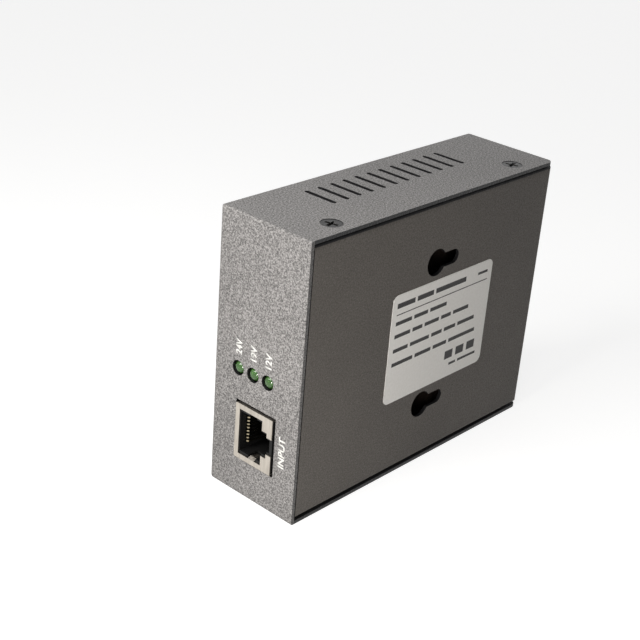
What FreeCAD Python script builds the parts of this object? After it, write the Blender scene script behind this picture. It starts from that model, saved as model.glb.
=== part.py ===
import FreeCAD, Part
import os
from types import SimpleNamespace

import Sketcher

# A power-over-Ethernet splitter: a folded sheet-metal box with a network jack at each end, a power
# output jack, a three-place slide switch, three indicator lamps and a circuit board inside.
#
# The pieces are drawn with the box lying on its bottom plate: X runs across the box from one long
# side wall (the near one), Y runs from the power input end to the data end, and Z runs up from the
# bottom plate. Each finished piece is then turned so that the box stands on the near side wall.

SIZES = [
    # Case
    ("case_width", 80.0, "outside, from side wall to side wall"),
    ("case_length", 100.0, "outside, from the power input end to the data end"),
    ("case_height", 31.7, "outside, from the bottom plate to the top plate"),
    ("steel", 1.0, "thickness of the folded sheet"),
    ("bend_radius", 1.5, "outside radius of every fold"),
    ("lid_gap", 0.3, "between the base and the cover that slides over it"),
    ("weld_radius", 0.5, "ground corners between the cover's end wall and its side walls"),
    ("wall_corner_radius", 2.0, "free corners of the cover's side walls"),
    ("flange_height", 9.0, "base flanges, from the outside of the bottom plate"),
    ("flange_setback", 3.0, "from the power input end of the base to its flanges"),
    ("relief_width", 2.0, "notch between a flange and the data end wall"),
    # Vents in both side walls
    ("vent_count", 12, "slots in each side wall"),
    ("vent_pitch", 4.8, "from slot to slot"),
    ("vent_width", 1.4, "across a slot"),
    ("vent_start", 14.2, "lower end of the slots, from the bottom plate"),
    ("vent_headroom", 6.7, "upper end of the slots, from the top plate"),
    # Keyholes in the bottom plate
    ("keyhole_spacing", 43.2, "between the two round parts"),
    ("keyhole_place", 50.0, "round parts, from the power input end"),
    ("keyhole_radius", 3.9, "round part"),
    ("keyhole_slot_radius", 2.1, "half the slot's width"),
    ("keyhole_reach", 9.4, "from the round part's centre to the slot's end"),
    # Screws that hold the cover
    ("screw_inset", 12.6, "from each end of the case"),
    ("screw_height", 5.5, "from the bottom plate's outside"),
    ("screw_head_radius", 2.9, "countersunk head"),
    ("screw_radius", 1.45, "shank"),
    ("screw_rim", 0.2, "straight rim of the head"),
    ("screw_sink", 0.1, "head below the wall's surface"),
    ("screw_length", 5.0, "from the wall's surface to the tip"),
    ("screw_gap", 0.05, "round a screw in its hole"),
    ("cross_reach", 1.6, "cross recess, from its centre to an arm's end"),
    ("cross_width", 0.75, "arm of a cross recess"),
    ("cross_depth", 1.1, "cross recess"),
    # Circuit board and what holds it
    ("post_height", 5.8, "from the bottom plate's inside to the board"),
    ("post_radius", 2.5, "threaded post"),
    ("post_bore_depth", 4.6, "threaded hole, from the top"),
    ("board_thickness", 1.6, "fibreglass board"),
    ("board_side_gap", 0.5, "from the tips of the cover screws to the board's edge"),
    ("board_end_gap", 2.0, "from the case's end to the board's edge"),
    ("board_corner_radius", 1.5, "board outline"),
    ("board_hole_gap", 0.15, "round a screw in the board"),
    ("board_hole_inset", 8.3, "board screws, from the case's side"),
    ("board_hole_place", 27.5, "board screws, from the case's end"),
    ("pan_radius", 2.7, "pan screw head"),
    ("pan_height", 1.9, "pan screw head"),
    ("pan_flat", 1.6, "flat top of the head"),
    ("board_screw_reach", 4.2, "board screw below its head"),
    # Rating label on the bottom plate
    ("label_length", 43.0, "along the case"),
    ("label_width", 32.6, "across the case"),
    ("label_place", 33.1, "from the power input end"),
    ("label_thickness", 0.15, "sticker"),
    ("label_radius", 2.0, "corners"),
    # Network jacks, both alike
    ("jack_width", 16.4, "outside of the shield"),
    ("jack_height", 13.5, "from the board to the top of the shield"),
    ("jack_depth", 21.0, "along the case"),
    ("jack_proud", 0.6, "front of the shield outside the end wall"),
    ("jack_hole_gap", 0.55, "between the shield and the end wall"),
    ("power_jack_place", 19.6, "centre of the power input jack, from the near side"),
    ("data_jack_place", 17.8, "centre of the data jack, from the near side"),
    ("tinplate", 0.3, "thickness of the shield"),
    ("shield_radius", 0.5, "folds of the shield"),
    ("frame_bar", 1.5, "bars of the shield's front, beside and above the mouth"),
    ("mouth_floor", 3.6, "where the mouth narrows, above the board"),
    ("mouth_step", 1.8, "where the mouth narrows again, above the board"),
    ("mouth_mid_width", 7.6, "shield's mouth at the first step"),
    ("mouth_low_width", 5.0, "shield's mouth at the second step"),
    ("insert_gap", 0.05, "between the insert and the shield"),
    ("insert_roof", 1.7, "from the top of the shield to the roof of the plug's room"),
    ("plug_width", 11.9, "plug's room in the insert"),
    ("plug_depth", 12.8, "plug's room in the insert, from its front"),
    ("latch_width", 6.4, "room for the plug's latch"),
    ("latch_slot_width", 3.8, "narrow part of the latch room"),
    ("latch_floor", 0.9, "floor under the latch room"),
    ("finger_height", 6.0, "spring fingers, above the board"),
    ("finger_width", 2.2, "spring fingers"),
    ("finger_reach", 3.6, "spring fingers, along the case"),
    ("finger_bend", 1.1, "from the front to a finger's bend"),
    ("finger_bulge", 0.5, "how far a finger leans into the mouth"),
    ("finger_room", 0.3, "round a finger in its window"),
    ("contact_count", 8, "wires in a jack"),
    ("contact_pitch", 1.02, "from wire to wire"),
    ("contact_wire", 0.4, "width and thickness of a wire"),
    ("contact_lip", 1.9, "front of the insert before the wires"),
    ("contact_fold", 0.8, "outside radius of a wire's fold at the front"),
    ("contact_drop", 3.0, "how far the free ends hang into the mouth"),
    ("contact_setback", 2.4, "from the free ends to the end of the plug's room"),
    # Power output jack
    ("outlet_inset", 13.6, "centre, from the far side"),
    ("outlet_width", 10.0, "front block"),
    ("outlet_height", 11.0, "front block, above the board"),
    ("outlet_front", 3.4, "depth of the front block"),
    ("outlet_depth", 14.2, "whole jack"),
    ("outlet_barrel", 4.4, "outside radius of the barrel"),
    ("outlet_hole_radius", 3.2, "mouth"),
    ("outlet_hole_height", 6.5, "mouth, above the board"),
    ("outlet_hole_depth", 10.4, "mouth"),
    ("outlet_gap", 0.35, "between the jack and the end wall"),
    ("outlet_pin_radius", 1.25, "centre pin"),
    ("outlet_pin_recess", 2.0, "pin's tip behind the front"),
    ("outlet_pin_gap", 0.05, "round the pin and the leaf in the moulding"),
    ("outlet_leaf_width", 3.0, "spring leaf beside the mouth"),
    ("outlet_leaf", 0.4, "thickness of the spring leaf"),
    ("outlet_leaf_rise", 0.8, "how far the leaf leans into the mouth"),
    ("outlet_leaf_foot", 6.0, "from the back of the jack to the leaf's bend"),
    ("outlet_leaf_slope", 1.2, "length of the leaf's slope up to its bend"),
    # Slide switch
    ("switch_offset", 3.0, "middle of the knob's travel, past the middle of the case"),
    ("switch_lift", 0.7, "underside of the switch frame, above the board"),
    ("switch_travel", 6.0, "knob, from the first place to the last"),
    ("switch_panel_gap", 0.3, "from the end wall to the switch"),
    ("switch_frame_height", 9.2, "steel frame"),
    ("switch_frame_depth", 5.4, "steel frame"),
    ("switch_tinplate", 0.4, "thickness of the steel frame"),
    ("switch_slot_radius", 0.4, "corners of the slot in the end wall"),
    ("switch_base_depth", 1.4, "moulded base that closes the frame"),
    ("switch_base_gap", 0.05, "round the base in the frame"),
    ("knob_length", 4.2, "along its travel"),
    ("knob_width", 3.3, "across its travel"),
    ("knob_proud", 1.7, "outside the end wall"),
    ("knob_end_gap", 0.4, "from the knob to each end of its slot"),
    ("knob_rib_pitch", 0.95, "grip ribs"),
    ("knob_rib_depth", 0.35, "grooves between the ribs"),
    ("knob_rib_gap", 0.4, "width of a groove"),
    ("slider_length", 7.4, "slider inside the frame"),
    ("slider_depth", 1.8, "slider inside the frame"),
    ("slide_gap", 0.3, "round what slides"),
    ("wiper_thickness", 0.3, "contact clip on the slider"),
    ("wiper_margin", 0.6, "from the ends of the slider to the clip"),
    ("wiper_height", 4.6, "contact clip"),
    ("wiper_window", 0.6, "window in the clip"),
    ("terminal_count", 4, "pins of the switch"),
    ("terminal_pitch", 3.6, "pins of the switch"),
    ("terminal_wire", 0.6, "pins of the switch"),
    ("terminal_reach", 1.8, "from the switch's base to the back of its pins"),
    # Indicator lamps
    ("lamp_offset", 2.65, "short of the middle of the case"),
    ("lamp_height", 3.2, "lowest lamp, above the board"),
    ("lamp_pitch", 5.4, "from lamp to lamp"),
    ("lamp_radius", 1.95, "lens"),
    ("lamp_hole_gap", 0.15, "round a lens in the end wall"),
    ("lamp_proud", 0.2, "tip of the lens outside the end wall"),
    ("lamp_length", 5.2, "lens and flange"),
    ("lamp_flange_radius", 2.3, "flange"),
    ("lamp_flange", 1.0, "thickness of the flange"),
    ("lamp_lead_pitch", 2.54, "between a lamp's two leads"),
    ("lamp_lead", 0.5, "thickness of a lead"),
    ("lamp_lead_room", 0.25, "round the leads in the holder"),
    ("holder_width", 5.0, "lamp holder"),
    ("holder_depth", 4.0, "lamp holder"),
    ("holder_headroom", 2.4, "lamp holder above its top lamp"),
    # Board parts behind the power input jack
    ("small_part_x", 12.0, "first small part, from the near side"),
    ("small_part_y", 2.1, "small parts, behind the jack"),
    ("small_part_pitch", 3.2, "from small part to small part"),
    ("small_part_count", 5, "small parts in a row"),
    ("small_part_width", 2.0, "small parts"),
    ("small_part_length", 1.25, "small parts"),
    ("small_part_height", 0.6, "small parts"),
    ("small_row_pitch", 2.6, "between the two rows of small parts"),
    ("chip_x", 12.0, "first flat chip, from the near side"),
    ("chip_y", 8.6, "flat chips, behind the jack"),
    ("chip_pitch", 8.0, "between the two flat chips"),
    ("chip_width", 4.0, "flat chips"),
    ("chip_length", 9.9, "flat chips"),
    ("chip_height", 1.7, "flat chips"),
    ("chip_lead_count", 7, "leads on each side of a flat chip"),
    ("magnetics_x", 12.7, "data transformer, from the near side"),
    ("magnetics_y", 21.6, "data transformer, behind the jack"),
    ("magnetics_width", 13.0, "data transformer"),
    ("magnetics_length", 17.6, "data transformer"),
    ("magnetics_height", 6.0, "data transformer"),
    ("magnetics_lead_count", 12, "leads on each side of the data transformer"),
    ("lead_pitch", 1.27, "from lead to lead of a flat package"),
    ("lead_width", 0.6, "leads of a flat package"),
    ("lead_thickness", 0.25, "leads of a flat package"),
    ("lead_shoulder", 0.7, "from a flat package to the bend of its leads"),
    ("lead_foot", 0.6, "feet of these leads"),
    # Board parts in the middle
    ("rectifier_x", 1.0, "bridge rectifiers, beside the jack"),
    ("rectifier_y", 15.5, "bridge rectifiers, from the power input end"),
    ("rectifier_width", 7.8, "bridge rectifiers"),
    ("rectifier_length", 6.5, "bridge rectifiers"),
    ("rectifier_height", 3.2, "bridge rectifiers"),
    ("rectifier_gap", 1.5, "between the two bridge rectifiers"),
    ("choke_x", 32.6, "input choke, from the near side"),
    ("choke_y", 35.5, "input choke, from the power input end"),
    ("choke_radius", 4.2, "input choke"),
    ("choke_waist", 3.6, "input choke between its flanges"),
    ("choke_height", 8.0, "input choke"),
    ("choke_flange", 1.2, "input choke"),
    ("coupler_x", 29.4, "optocoupler, from the near side"),
    ("coupler_y", 41.5, "optocoupler, from the power input end"),
    ("coupler_width", 6.4, "optocoupler"),
    ("coupler_length", 4.6, "optocoupler"),
    ("coupler_height", 3.4, "optocoupler"),
    ("coupler_lift", 0.5, "optocoupler above the board"),
    ("coupler_lead", 0.5, "legs of the optocoupler"),
    ("coupler_lead_pitch", 2.54, "legs of the optocoupler"),
    ("ring_x", 35.0, "output inductor, from the near side"),
    ("ring_y", 26.5, "output inductor, from the data end"),
    ("ring_radius", 6.0, "ring core outside"),
    ("ring_hole", 3.0, "ring core inside"),
    ("ring_height", 5.0, "ring core"),
    ("coil_wire", 0.9, "wire of the coil"),
    ("coil_gap", 0.1, "between the coil and the ring"),
    ("coil_turns", 9, "turns of the coil"),
    # Board parts on the far side
    ("can_height", 15.0, "capacitors"),
    ("can_radius", 4.0, "capacitors"),
    ("can_rim", 0.5, "bevel round the top of a capacitor"),
    ("can_gap", 1.5, "between two capacitors in a pair"),
    ("input_can_inset", 15.5, "last input capacitor, from the far side"),
    ("input_can_y", 9.5, "input capacitors, from the power input end"),
    ("output_can_inset", 20.0, "output capacitors, from the far side"),
    ("output_can_y", 20.5, "last output capacitor, from the data end"),
    ("sink_inset", 11.5, "heat sink, from the far side"),
    ("sink_y", 22.4, "face for the transistors, from the power input end"),
    ("sink_width", 18.0, "heat sink"),
    ("sink_plate", 2.6, "heat sink plate"),
    ("sink_height", 14.5, "heat sink"),
    ("fin_count", 5, "heat sink fins"),
    ("fin_thickness", 1.2, "heat sink fins"),
    ("fin_reach", 5.0, "heat sink fins"),
    ("package_width", 8.0, "power transistors"),
    ("package_height", 11.0, "power transistors"),
    ("package_thickness", 2.8, "power transistors"),
    ("package_gap", 1.2, "between the power transistors"),
    ("package_hole", 3.8, "screw hole, from the top of a power transistor"),
    ("package_leg", 2.0, "legs below a power transistor"),
    ("package_leg_width", 0.6, "legs"),
    ("package_leg_pitch", 2.3, "legs"),
    ("core_inset", 20.5, "power transformer's middle, from the far side"),
    ("core_offset", 4.0, "power transformer, short of the middle of the case"),
    ("core_width", 18.0, "ferrite core"),
    ("core_length", 17.0, "ferrite core"),
    ("core_height", 6.0, "ferrite core"),
    ("core_leg", 2.8, "outer legs and back of the core"),
    ("core_centre_leg", 5.2, "centre leg of the core"),
    ("core_air_gap", 0.1, "between the two halves"),
    ("bobbin_wall", 0.8, "bobbin tube and flanges"),
    ("bobbin_gap", 0.1, "between bobbin and core"),
    ("bobbin_lift", 0.4, "bobbin's flanges above the board"),
    ("winding_room", 0.3, "between the bobbin's flanges and the core's outer legs"),
    ("winding_gap", 0.1, "between the winding and the bobbin's flanges"),
    ("winding_radius", 1.5, "corners of the winding"),
    ("rail_length", 3.2, "bobbin's pin rails, along the case"),
    ("pin_count", 5, "pins in a rail"),
    ("pin_margin", 0.8, "from the end of a rail to its first pin"),
    ("pin_width", 0.8, "pins in a rail"),
]


class Size:
    """A number that keeps the formula it was worked out by."""

    def __init__(self, amount, formula=None):
        self.amount = float(amount)
        self.formula = formula or repr(self.amount)

    def __add__(self, other):
        other = sized(other)
        return Size(self.amount + other.amount, f"({self.formula} + {other.formula})")

    def __sub__(self, other):
        other = sized(other)
        return Size(self.amount - other.amount, f"({self.formula} - {other.formula})")

    def __mul__(self, other):
        other = sized(other)
        return Size(self.amount * other.amount, f"({self.formula} * {other.formula})")

    def __truediv__(self, other):
        other = sized(other)
        return Size(self.amount / other.amount, f"({self.formula} / {other.formula})")

    def __radd__(self, other):
        return sized(other) + self

    def __rsub__(self, other):
        return sized(other) - self

    def __rmul__(self, other):
        return sized(other) * self

    def __neg__(self):
        return Size(0) - self


def sized(number):
    """The number itself if it is a Size, and otherwise a Size with that value."""
    return number if isinstance(number, Size) else Size(number)


def write_sheet():
    """Put every driving size into the document's sheet, and give each back under its own name."""
    sheet = doc.addObject("Spreadsheet::Sheet", "Sizes")
    named = SimpleNamespace()
    for row, (name, amount, meaning) in enumerate(SIZES, 1):
        sheet.set(f"A{row}", name)
        sheet.set(f"B{row}", str(amount))
        sheet.setAlias(f"B{row}", name)
        sheet.set(f"C{row}", meaning)
        setattr(named, name, Size(amount, f"Sizes.{name}"))
    return named


doc = FreeCAD.newDocument("poe_splitter")
size = write_sheet()
doc.recompute()

LAMP_NAMES = ("lamp_12v", "lamp_19v", "lamp_24v")
AXES = {
    "X": FreeCAD.Vector(1, 0, 0),
    "Y": FreeCAD.Vector(0, 1, 0),
    "Z": FreeCAD.Vector(0, 0, 1),
}
STANDING = FreeCAD.Rotation(AXES["Y"], -90)
HALF_TURN = FreeCAD.Rotation(AXES["Z"], 180)
SAME_PLACE = 1e-4

# Places that many pieces share
case_middle = size.case_width / 2
board_bottom = size.steel + size.post_height
board_top = board_bottom + size.board_thickness
behind_jack = size.jack_depth - size.jack_proud

finished = []


def bind(thing, path, number):
    """Tie a property to its formula."""
    thing.setExpression(path, sized(number).formula)


def new_body(name, several=False):
    """An empty body, which may hold several separate solids."""
    body = doc.addObject("PartDesign::Body", name)
    body.AllowCompound = several
    return body


def origin_feature(body, role):
    """One of a body's own origin planes or axes."""
    return next(feature for feature in body.Origin.OriginFeatures if feature.Role == role)


def sketch_on(body, plane, level):
    """A sketch on one of the body's own origin planes, moved to a level along the third axis."""
    sketch = body.newObject("Sketcher::SketchObject", "outline")
    sketch.AttachmentSupport = [(origin_feature(body, plane + "_Plane"), "")]
    sketch.MapMode = "FlatFace"
    facing = -1 if plane == "XZ" else 1
    bind(sketch, "AttachmentOffset.Base.z", sized(level) * facing)
    return sketch


def spot(across, up):
    """A point of a sketch, from two sizes."""
    return FreeCAD.Vector(sized(across).amount, sized(up).amount, 0)


def hold(sketch, kind, curve, point, number):
    """Hold one point of a curve at a distance from the sketch's origin."""
    amount = sized(number).amount
    index = sketch.addConstraint(Sketcher.Constraint(kind, -1, 1, curve, point, amount))
    bind(sketch, f"Constraints[{index}]", number)


def hold_at(sketch, curve, point, across, up):
    """Hold one point of a curve at its place from the sketch's origin."""
    hold(sketch, "DistanceX", curve, point, across)
    hold(sketch, "DistanceY", curve, point, up)


def about(across, up, clockwise=False):
    """Marks the run from a corner to the next as an arc about a centre."""
    return across, up, clockwise


def add_arc(sketch, start, end, centre, clockwise):
    """An arc between two points, and which of its own ends lie at them."""
    ring = Part.Circle(centre, AXES["Z"], (start - centre).Length)
    first, last = (end, start) if clockwise else (start, end)
    sketch.addGeometry(Part.ArcOfCircle(ring, ring.parameter(first), ring.parameter(last)))
    return (2, 1) if clockwise else (1, 2)


def hold_centre(sketch, curve, start, end, across, up):
    """Hold an arc's centre along the one direction that its two ends leave free."""
    chord = end - start
    if abs(chord.x) > abs(chord.y):
        hold(sketch, "DistanceY", curve, 3, up)
    else:
        hold(sketch, "DistanceX", curve, 3, across)


def shape(corners):
    """A closed outline: each corner is (across, up), with about(...) added where an arc starts."""

    def draw(sketch):
        first = sketch.GeometryCount
        points = [spot(corner[0], corner[1]) for corner in corners]
        runs = list(zip(corners, points, points[1:] + points[:1]))
        ends = []
        for corner, start, end in runs:
            if len(corner) == 2:
                sketch.addGeometry(Part.LineSegment(start, end))
                ends.append((1, 2))
            else:
                across, up, clockwise = corner[2]
                ends.append(add_arc(sketch, start, end, spot(across, up), clockwise))
        for i, (_, stops) in enumerate(ends):
            after = (i + 1) % len(ends)
            join = (first + i, stops, first + after, ends[after][0])
            sketch.addConstraint(Sketcher.Constraint("Coincident", *join))
        for i, (corner, start, end) in enumerate(runs):
            hold_at(sketch, first + i, ends[i][0], corner[0], corner[1])
            if len(corner) == 3:
                hold_centre(sketch, first + i, start, end, *corner[2][:2])

    return draw


def rectangle(left, low, right, high):
    """A rectangle between two opposite corners."""
    return shape([(left, low), (right, low), (right, high), (left, high)])


def centred(across, up, half_width, half_height):
    """A rectangle about its middle."""
    return rectangle(across - half_width, up - half_height, across + half_width, up + half_height)


def circle(across, up, radius):
    """A circle."""

    def draw(sketch):
        ring = Part.Circle(spot(across, up), AXES["Z"], sized(radius).amount)
        curve = sketch.addGeometry(ring)
        index = sketch.addConstraint(Sketcher.Constraint("Radius", curve, sized(radius).amount))
        bind(sketch, f"Constraints[{index}]", radius)
        hold_at(sketch, curve, 3, across, up)

    return draw


def upright_slot(across, low, high, radius):
    """A slot with round ends, which runs up the sketch between the centres of its ends."""
    left, right = across - radius, across + radius
    return shape([
        (left, low, about(across, low)),
        (right, low),
        (right, high, about(across, high)),
        (left, high),
    ])


def prism(body, kind, plane, level, length, *outlines):
    """A Pad or Pocket of the outlines, from a level and up the plane's third axis."""
    sketch = sketch_on(body, plane, level)
    for draw in outlines:
        draw(sketch)
    feature = body.newObject("PartDesign::" + kind, kind.lower())
    feature.Profile = sketch
    bind(feature, "Length", length)
    feature.Reversed = (kind == "Pocket") != (plane == "XZ")
    return feature


def pad(body, plane, level, length, *outlines):
    """Material of the outlines' form."""
    return prism(body, "Pad", plane, level, length, *outlines)


def pocket(body, plane, level, length, *outlines):
    """A cut of the outlines' form."""
    return prism(body, "Pocket", plane, level, length, *outlines)


def turned(body, plane, axis, corners):
    """A solid turned about an axis of its sketch."""
    sketch = sketch_on(body, plane, 0)
    shape(corners)(sketch)
    feature = body.newObject("PartDesign::Revolution", "revolution")
    feature.Profile = sketch
    feature.ReferenceAxis = (sketch, [axis])
    feature.Angle = 360
    return feature


def repeat(body, feature, axis, step, count):
    """Copies of a feature in a row along one of the body's own axes."""
    row = body.newObject("PartDesign::LinearPattern", "row")
    row.Originals = [feature]
    row.Direction = (origin_feature(body, axis + "_Axis"), [""])
    bind(row, "Length", step * (count - 1))
    bind(row, "Occurrences", count)
    body.Tip = row
    return row


def edges_at(solid, places):
    """The names of straight edges that lie at the given coordinates, where None is any."""
    names = []
    for number, edge in enumerate(solid.Edges, 1):
        if edge.Degenerated or edge.Curve.TypeId != "Part::GeomLine":
            continue
        ends = [vertex.Point for vertex in edge.Vertexes]
        for place in places:
            wanted = [(i, sized(c).amount) for i, c in enumerate(place) if c is not None]
            if all(abs(end[i] - c) < SAME_PLACE for i, c in wanted for end in ends):
                names.append(f"Edge{number}")
                break
    return names


def round_edges(body, radius, places):
    """Fillet the straight edges at the given coordinates."""
    doc.recompute()
    base = body.Tip
    names = edges_at(base.Shape, places)
    if not names:
        raise RuntimeError(f"{body.Name}: no edge to round at {len(places)} places")
    fillet = body.newObject("PartDesign::Fillet", "fillet")
    fillet.Base = (base, names)
    bind(fillet, "Radius", radius)
    return fillet


def mirrored(source, axis, middle):
    """A mirror image across a plane that stands square to an axis."""
    image = doc.addObject("Part::Mirroring", source.Name + "_image")
    image.Source = source
    image.Normal = AXES[axis]
    bind(image, "Base." + axis.lower(), middle)
    return image


def group(name, members):
    """Separate solids that share one name."""
    compound = doc.addObject("Part::Compound", name)
    compound.Links = members
    return compound


def four_of(name, source):
    """One piece and its images across both middle planes of the case."""
    pair = [source, mirrored(source, "Y", size.case_length / 2)]
    far_pair = [mirrored(one, "X", case_middle) for one in pair]
    return group(name, pair + far_pair)


def cut_out(name, base, tool):
    """The base with the tool taken away."""
    result = doc.addObject("Part::Cut", name)
    result.Base = base
    result.Tool = tool
    return result


def finish(piece, name, x=0, y=0, z=0, half_turn=False):
    """Name a piece and stand it up with the case, its own origin at the given place in the box."""
    piece.Label = name
    rotation = STANDING * HALF_TURN if half_turn else STANDING
    piece.Placement = FreeCAD.Placement(FreeCAD.Vector(), rotation)
    bind(piece, "Placement.Base.x", size.case_height / 2 - z)
    bind(piece, "Placement.Base.y", y - size.case_length / 2)
    bind(piece, "Placement.Base.z", x)
    finished.append(piece)


def jack_hole(place):
    """The outline of the hole for a network jack in an end wall."""
    half = size.jack_width / 2 + size.jack_hole_gap
    low = board_top - size.jack_hole_gap
    high = board_top + size.jack_height + size.jack_hole_gap
    return rectangle(place - half, low, place + half, high)


def lamp_across():
    """Where the column of lamps stands across the case."""
    return case_middle - size.lamp_offset


def lamp_levels():
    """The heights of the lamps, from the lowest to the highest."""
    lowest = board_top + size.lamp_height
    return [lowest + size.lamp_pitch * i for i in range(len(LAMP_NAMES))]


def lamp_back():
    """The back of the lamps, behind the outside of the power input end wall."""
    return size.lamp_length - size.lamp_proud


def outlet_across():
    """The middle of the power output jack across the case."""
    return size.case_width - size.outlet_inset


def switch_across():
    """The middle of the knob's travel across the case."""
    return case_middle + size.switch_offset


def switch_level():
    """The height of the middle of the switch."""
    return board_top + size.switch_lift + size.switch_frame_height / 2


def knob_slot():
    """Half the length and half the width of the slot that the knob slides in."""
    half_length = (size.knob_length + size.switch_travel) / 2 + size.knob_end_gap
    return half_length, size.knob_width / 2 + size.slide_gap


def screw_seats():
    """The space of the four countersunk cover screws, with a little room round them."""
    seat = new_body("screw_seat")
    head = size.screw_head_radius + size.screw_gap
    shank = size.screw_radius + size.screw_gap
    rim_end = size.screw_sink + size.screw_rim
    cone_end = rim_end + head - shank
    bottom = size.screw_length + size.screw_radius
    turned(seat, "XY", "H_Axis", [
        (0, 0),
        (0, head),
        (rim_end, head),
        (cone_end, shank),
        (bottom, shank),
        (bottom, 0),
    ])
    bind(seat, "Placement.Base.y", size.screw_inset)
    bind(seat, "Placement.Base.z", size.screw_height)
    return four_of("screw_seats", seat)


def cover_shell():
    """Top plate, both side walls and the power input end wall, folded from one sheet."""
    body = new_body("cover_shell")
    width, length, height = size.case_width, size.case_length, size.case_height
    wall = size.steel
    pad(body, "XY", 0, height, rectangle(0, 0, width, length))
    sides = [(0, None, height), (width, None, height)]
    ends = [(None, 0, height), (None, length, height)]
    round_edges(body, size.bend_radius, sides + ends)
    round_edges(body, size.weld_radius, [(0, 0, None), (width, 0, None)])
    round_edges(body, size.wall_corner_radius, [(None, length, 0)])
    pocket(body, "XY", -wall, height, rectangle(wall, wall, width - wall, length + wall))
    inside_top = height - wall
    fold_insides = [(wall, None, inside_top), (width - wall, None, inside_top), (None, wall, inside_top)]
    round_edges(body, size.bend_radius - wall, fold_insides)
    lamp_hole = size.lamp_radius + size.lamp_hole_gap
    lamps = [circle(lamp_across(), level, lamp_hole) for level in lamp_levels()]
    pocket(body, "XZ", -wall, wall * 2, jack_hole(size.power_jack_place), *lamps)
    radius = size.vent_width / 2
    first = length / 2 - size.vent_pitch * (size.vent_count - 1) / 2
    low, high = size.vent_start + radius, height - size.vent_headroom - radius
    vent = pocket(body, "YZ", -wall, width + wall * 2, upright_slot(first, low, high, radius))
    repeat(body, vent, "Y", size.vent_pitch, size.vent_count)
    return body


def keyhole_cut(body, across):
    """A keyhole in the bottom plate: a round part for a screw's head, and a slot for its shank."""
    low, through = -size.steel, size.steel * 2
    place, radius = size.keyhole_place, size.keyhole_slot_radius
    slot_end = place + size.keyhole_reach - radius
    pocket(body, "XY", low, through, circle(across, place, size.keyhole_radius))
    pocket(body, "XY", low, through, upright_slot(across, place, slot_end, radius))


def base_tray():
    """Bottom plate, data end wall and two side flanges, folded from one sheet."""
    body = new_body("base_tray")
    wall = size.steel
    near = wall + size.lid_gap
    far = size.case_width - near
    length = size.case_length
    height = size.case_height - near
    pad(body, "XY", 0, height, rectangle(near, near, far, length))
    round_edges(body, size.bend_radius, [(near, None, 0), (far, None, 0), (None, length, 0)])
    inside = rectangle(near + wall, near - wall, far - wall, length - wall)
    pocket(body, "XY", wall, height, inside)
    fold_insides = [(near + wall, None, wall), (far - wall, None, wall), (None, length - wall, wall)]
    round_edges(body, size.bend_radius - wall, fold_insides)
    flange_start = near + size.flange_setback
    flange_end = length - wall - size.relief_width
    above_flanges = shape([
        (near - wall, size.bend_radius),
        (flange_start, size.bend_radius),
        (flange_start, size.flange_height),
        (flange_end, size.flange_height),
        (flange_end, size.bend_radius),
        (length - wall, size.bend_radius),
        (length - wall, size.case_height),
        (near - wall, size.case_height),
    ])
    pocket(body, "YZ", 0, size.case_width, above_flanges)
    for side in (-1, 1):
        keyhole_cut(body, case_middle + size.keyhole_spacing / 2 * side)
    outlet_hole = centred(
        outlet_across(),
        board_top + size.outlet_height / 2,
        size.outlet_width / 2 + size.outlet_gap,
        size.outlet_height / 2 + size.outlet_gap,
    )
    end_wall = length - wall * 2
    pocket(body, "XZ", end_wall, wall * 3, jack_hole(size.data_jack_place), outlet_hole)
    half_length, half_width = knob_slot()
    middle = switch_level()
    pocket(body, "XZ", end_wall, wall * 3, centred(switch_across(), middle, half_length, half_width))
    sides = (switch_across() - half_length, switch_across() + half_length)
    levels = (middle - half_width, middle + half_width)
    round_edges(body, size.switch_slot_radius, [(x, None, z) for x in sides for z in levels])
    return body


def case():
    """The two folded shells, each with its holes for the cover screws."""
    seats = screw_seats()
    finish(cut_out("cover", cover_shell(), seats), "cover")
    finish(cut_out("base", base_tray(), seats), "base")


def cover_screws():
    """Countersunk screws through the cover's side walls into the base's flanges."""
    screw = new_body("cover_screw")
    head, shank = size.screw_head_radius, size.screw_radius
    sink = size.screw_sink
    rim_end = sink + size.screw_rim
    turned(screw, "XY", "H_Axis", [
        (sink, 0),
        (sink, head),
        (rim_end, head),
        (rim_end + head - shank, shank),
        (size.screw_length, shank),
        (size.screw_length, 0),
    ])
    reach, half = size.cross_reach, size.cross_width / 2
    cross = shape([
        (reach, half),
        (half, half),
        (half, reach),
        (-half, reach),
        (-half, half),
        (-reach, half),
        (-reach, -half),
        (-half, -half),
        (-half, -reach),
        (half, -reach),
        (half, -half),
        (reach, -half),
    ])
    pocket(screw, "YZ", sink, size.cross_depth, cross)
    bind(screw, "Placement.Base.y", size.screw_inset)
    bind(screw, "Placement.Base.z", size.screw_height)
    finish(four_of("cover_screws", screw), "cover_screws")


def board_posts():
    """Threaded posts pressed into the bottom plate."""
    post = new_body("post")
    across, along = size.board_hole_inset, size.board_hole_place
    pad(post, "XY", size.steel, size.post_height, circle(across, along, size.post_radius))
    bore = circle(across, along, size.screw_radius + size.screw_gap)
    bore_start = board_bottom - size.post_bore_depth
    pocket(post, "XY", bore_start, size.post_bore_depth + size.steel, bore)
    finish(four_of("board_posts", post), "board_posts")


def pan_screw(name, plane, reach):
    """A pan-head screw along the plane's upright axis, with the underside of its head at 0."""
    screw = new_body(name)
    shank, head, top = size.screw_radius, size.pan_radius, size.pan_height
    turned(screw, plane, "V_Axis", [
        (0, -reach),
        (shank, -reach),
        (shank, 0),
        (head, 0),
        (head, top / 2),
        (size.pan_flat, top),
        (0, top),
    ])
    return screw


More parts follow.
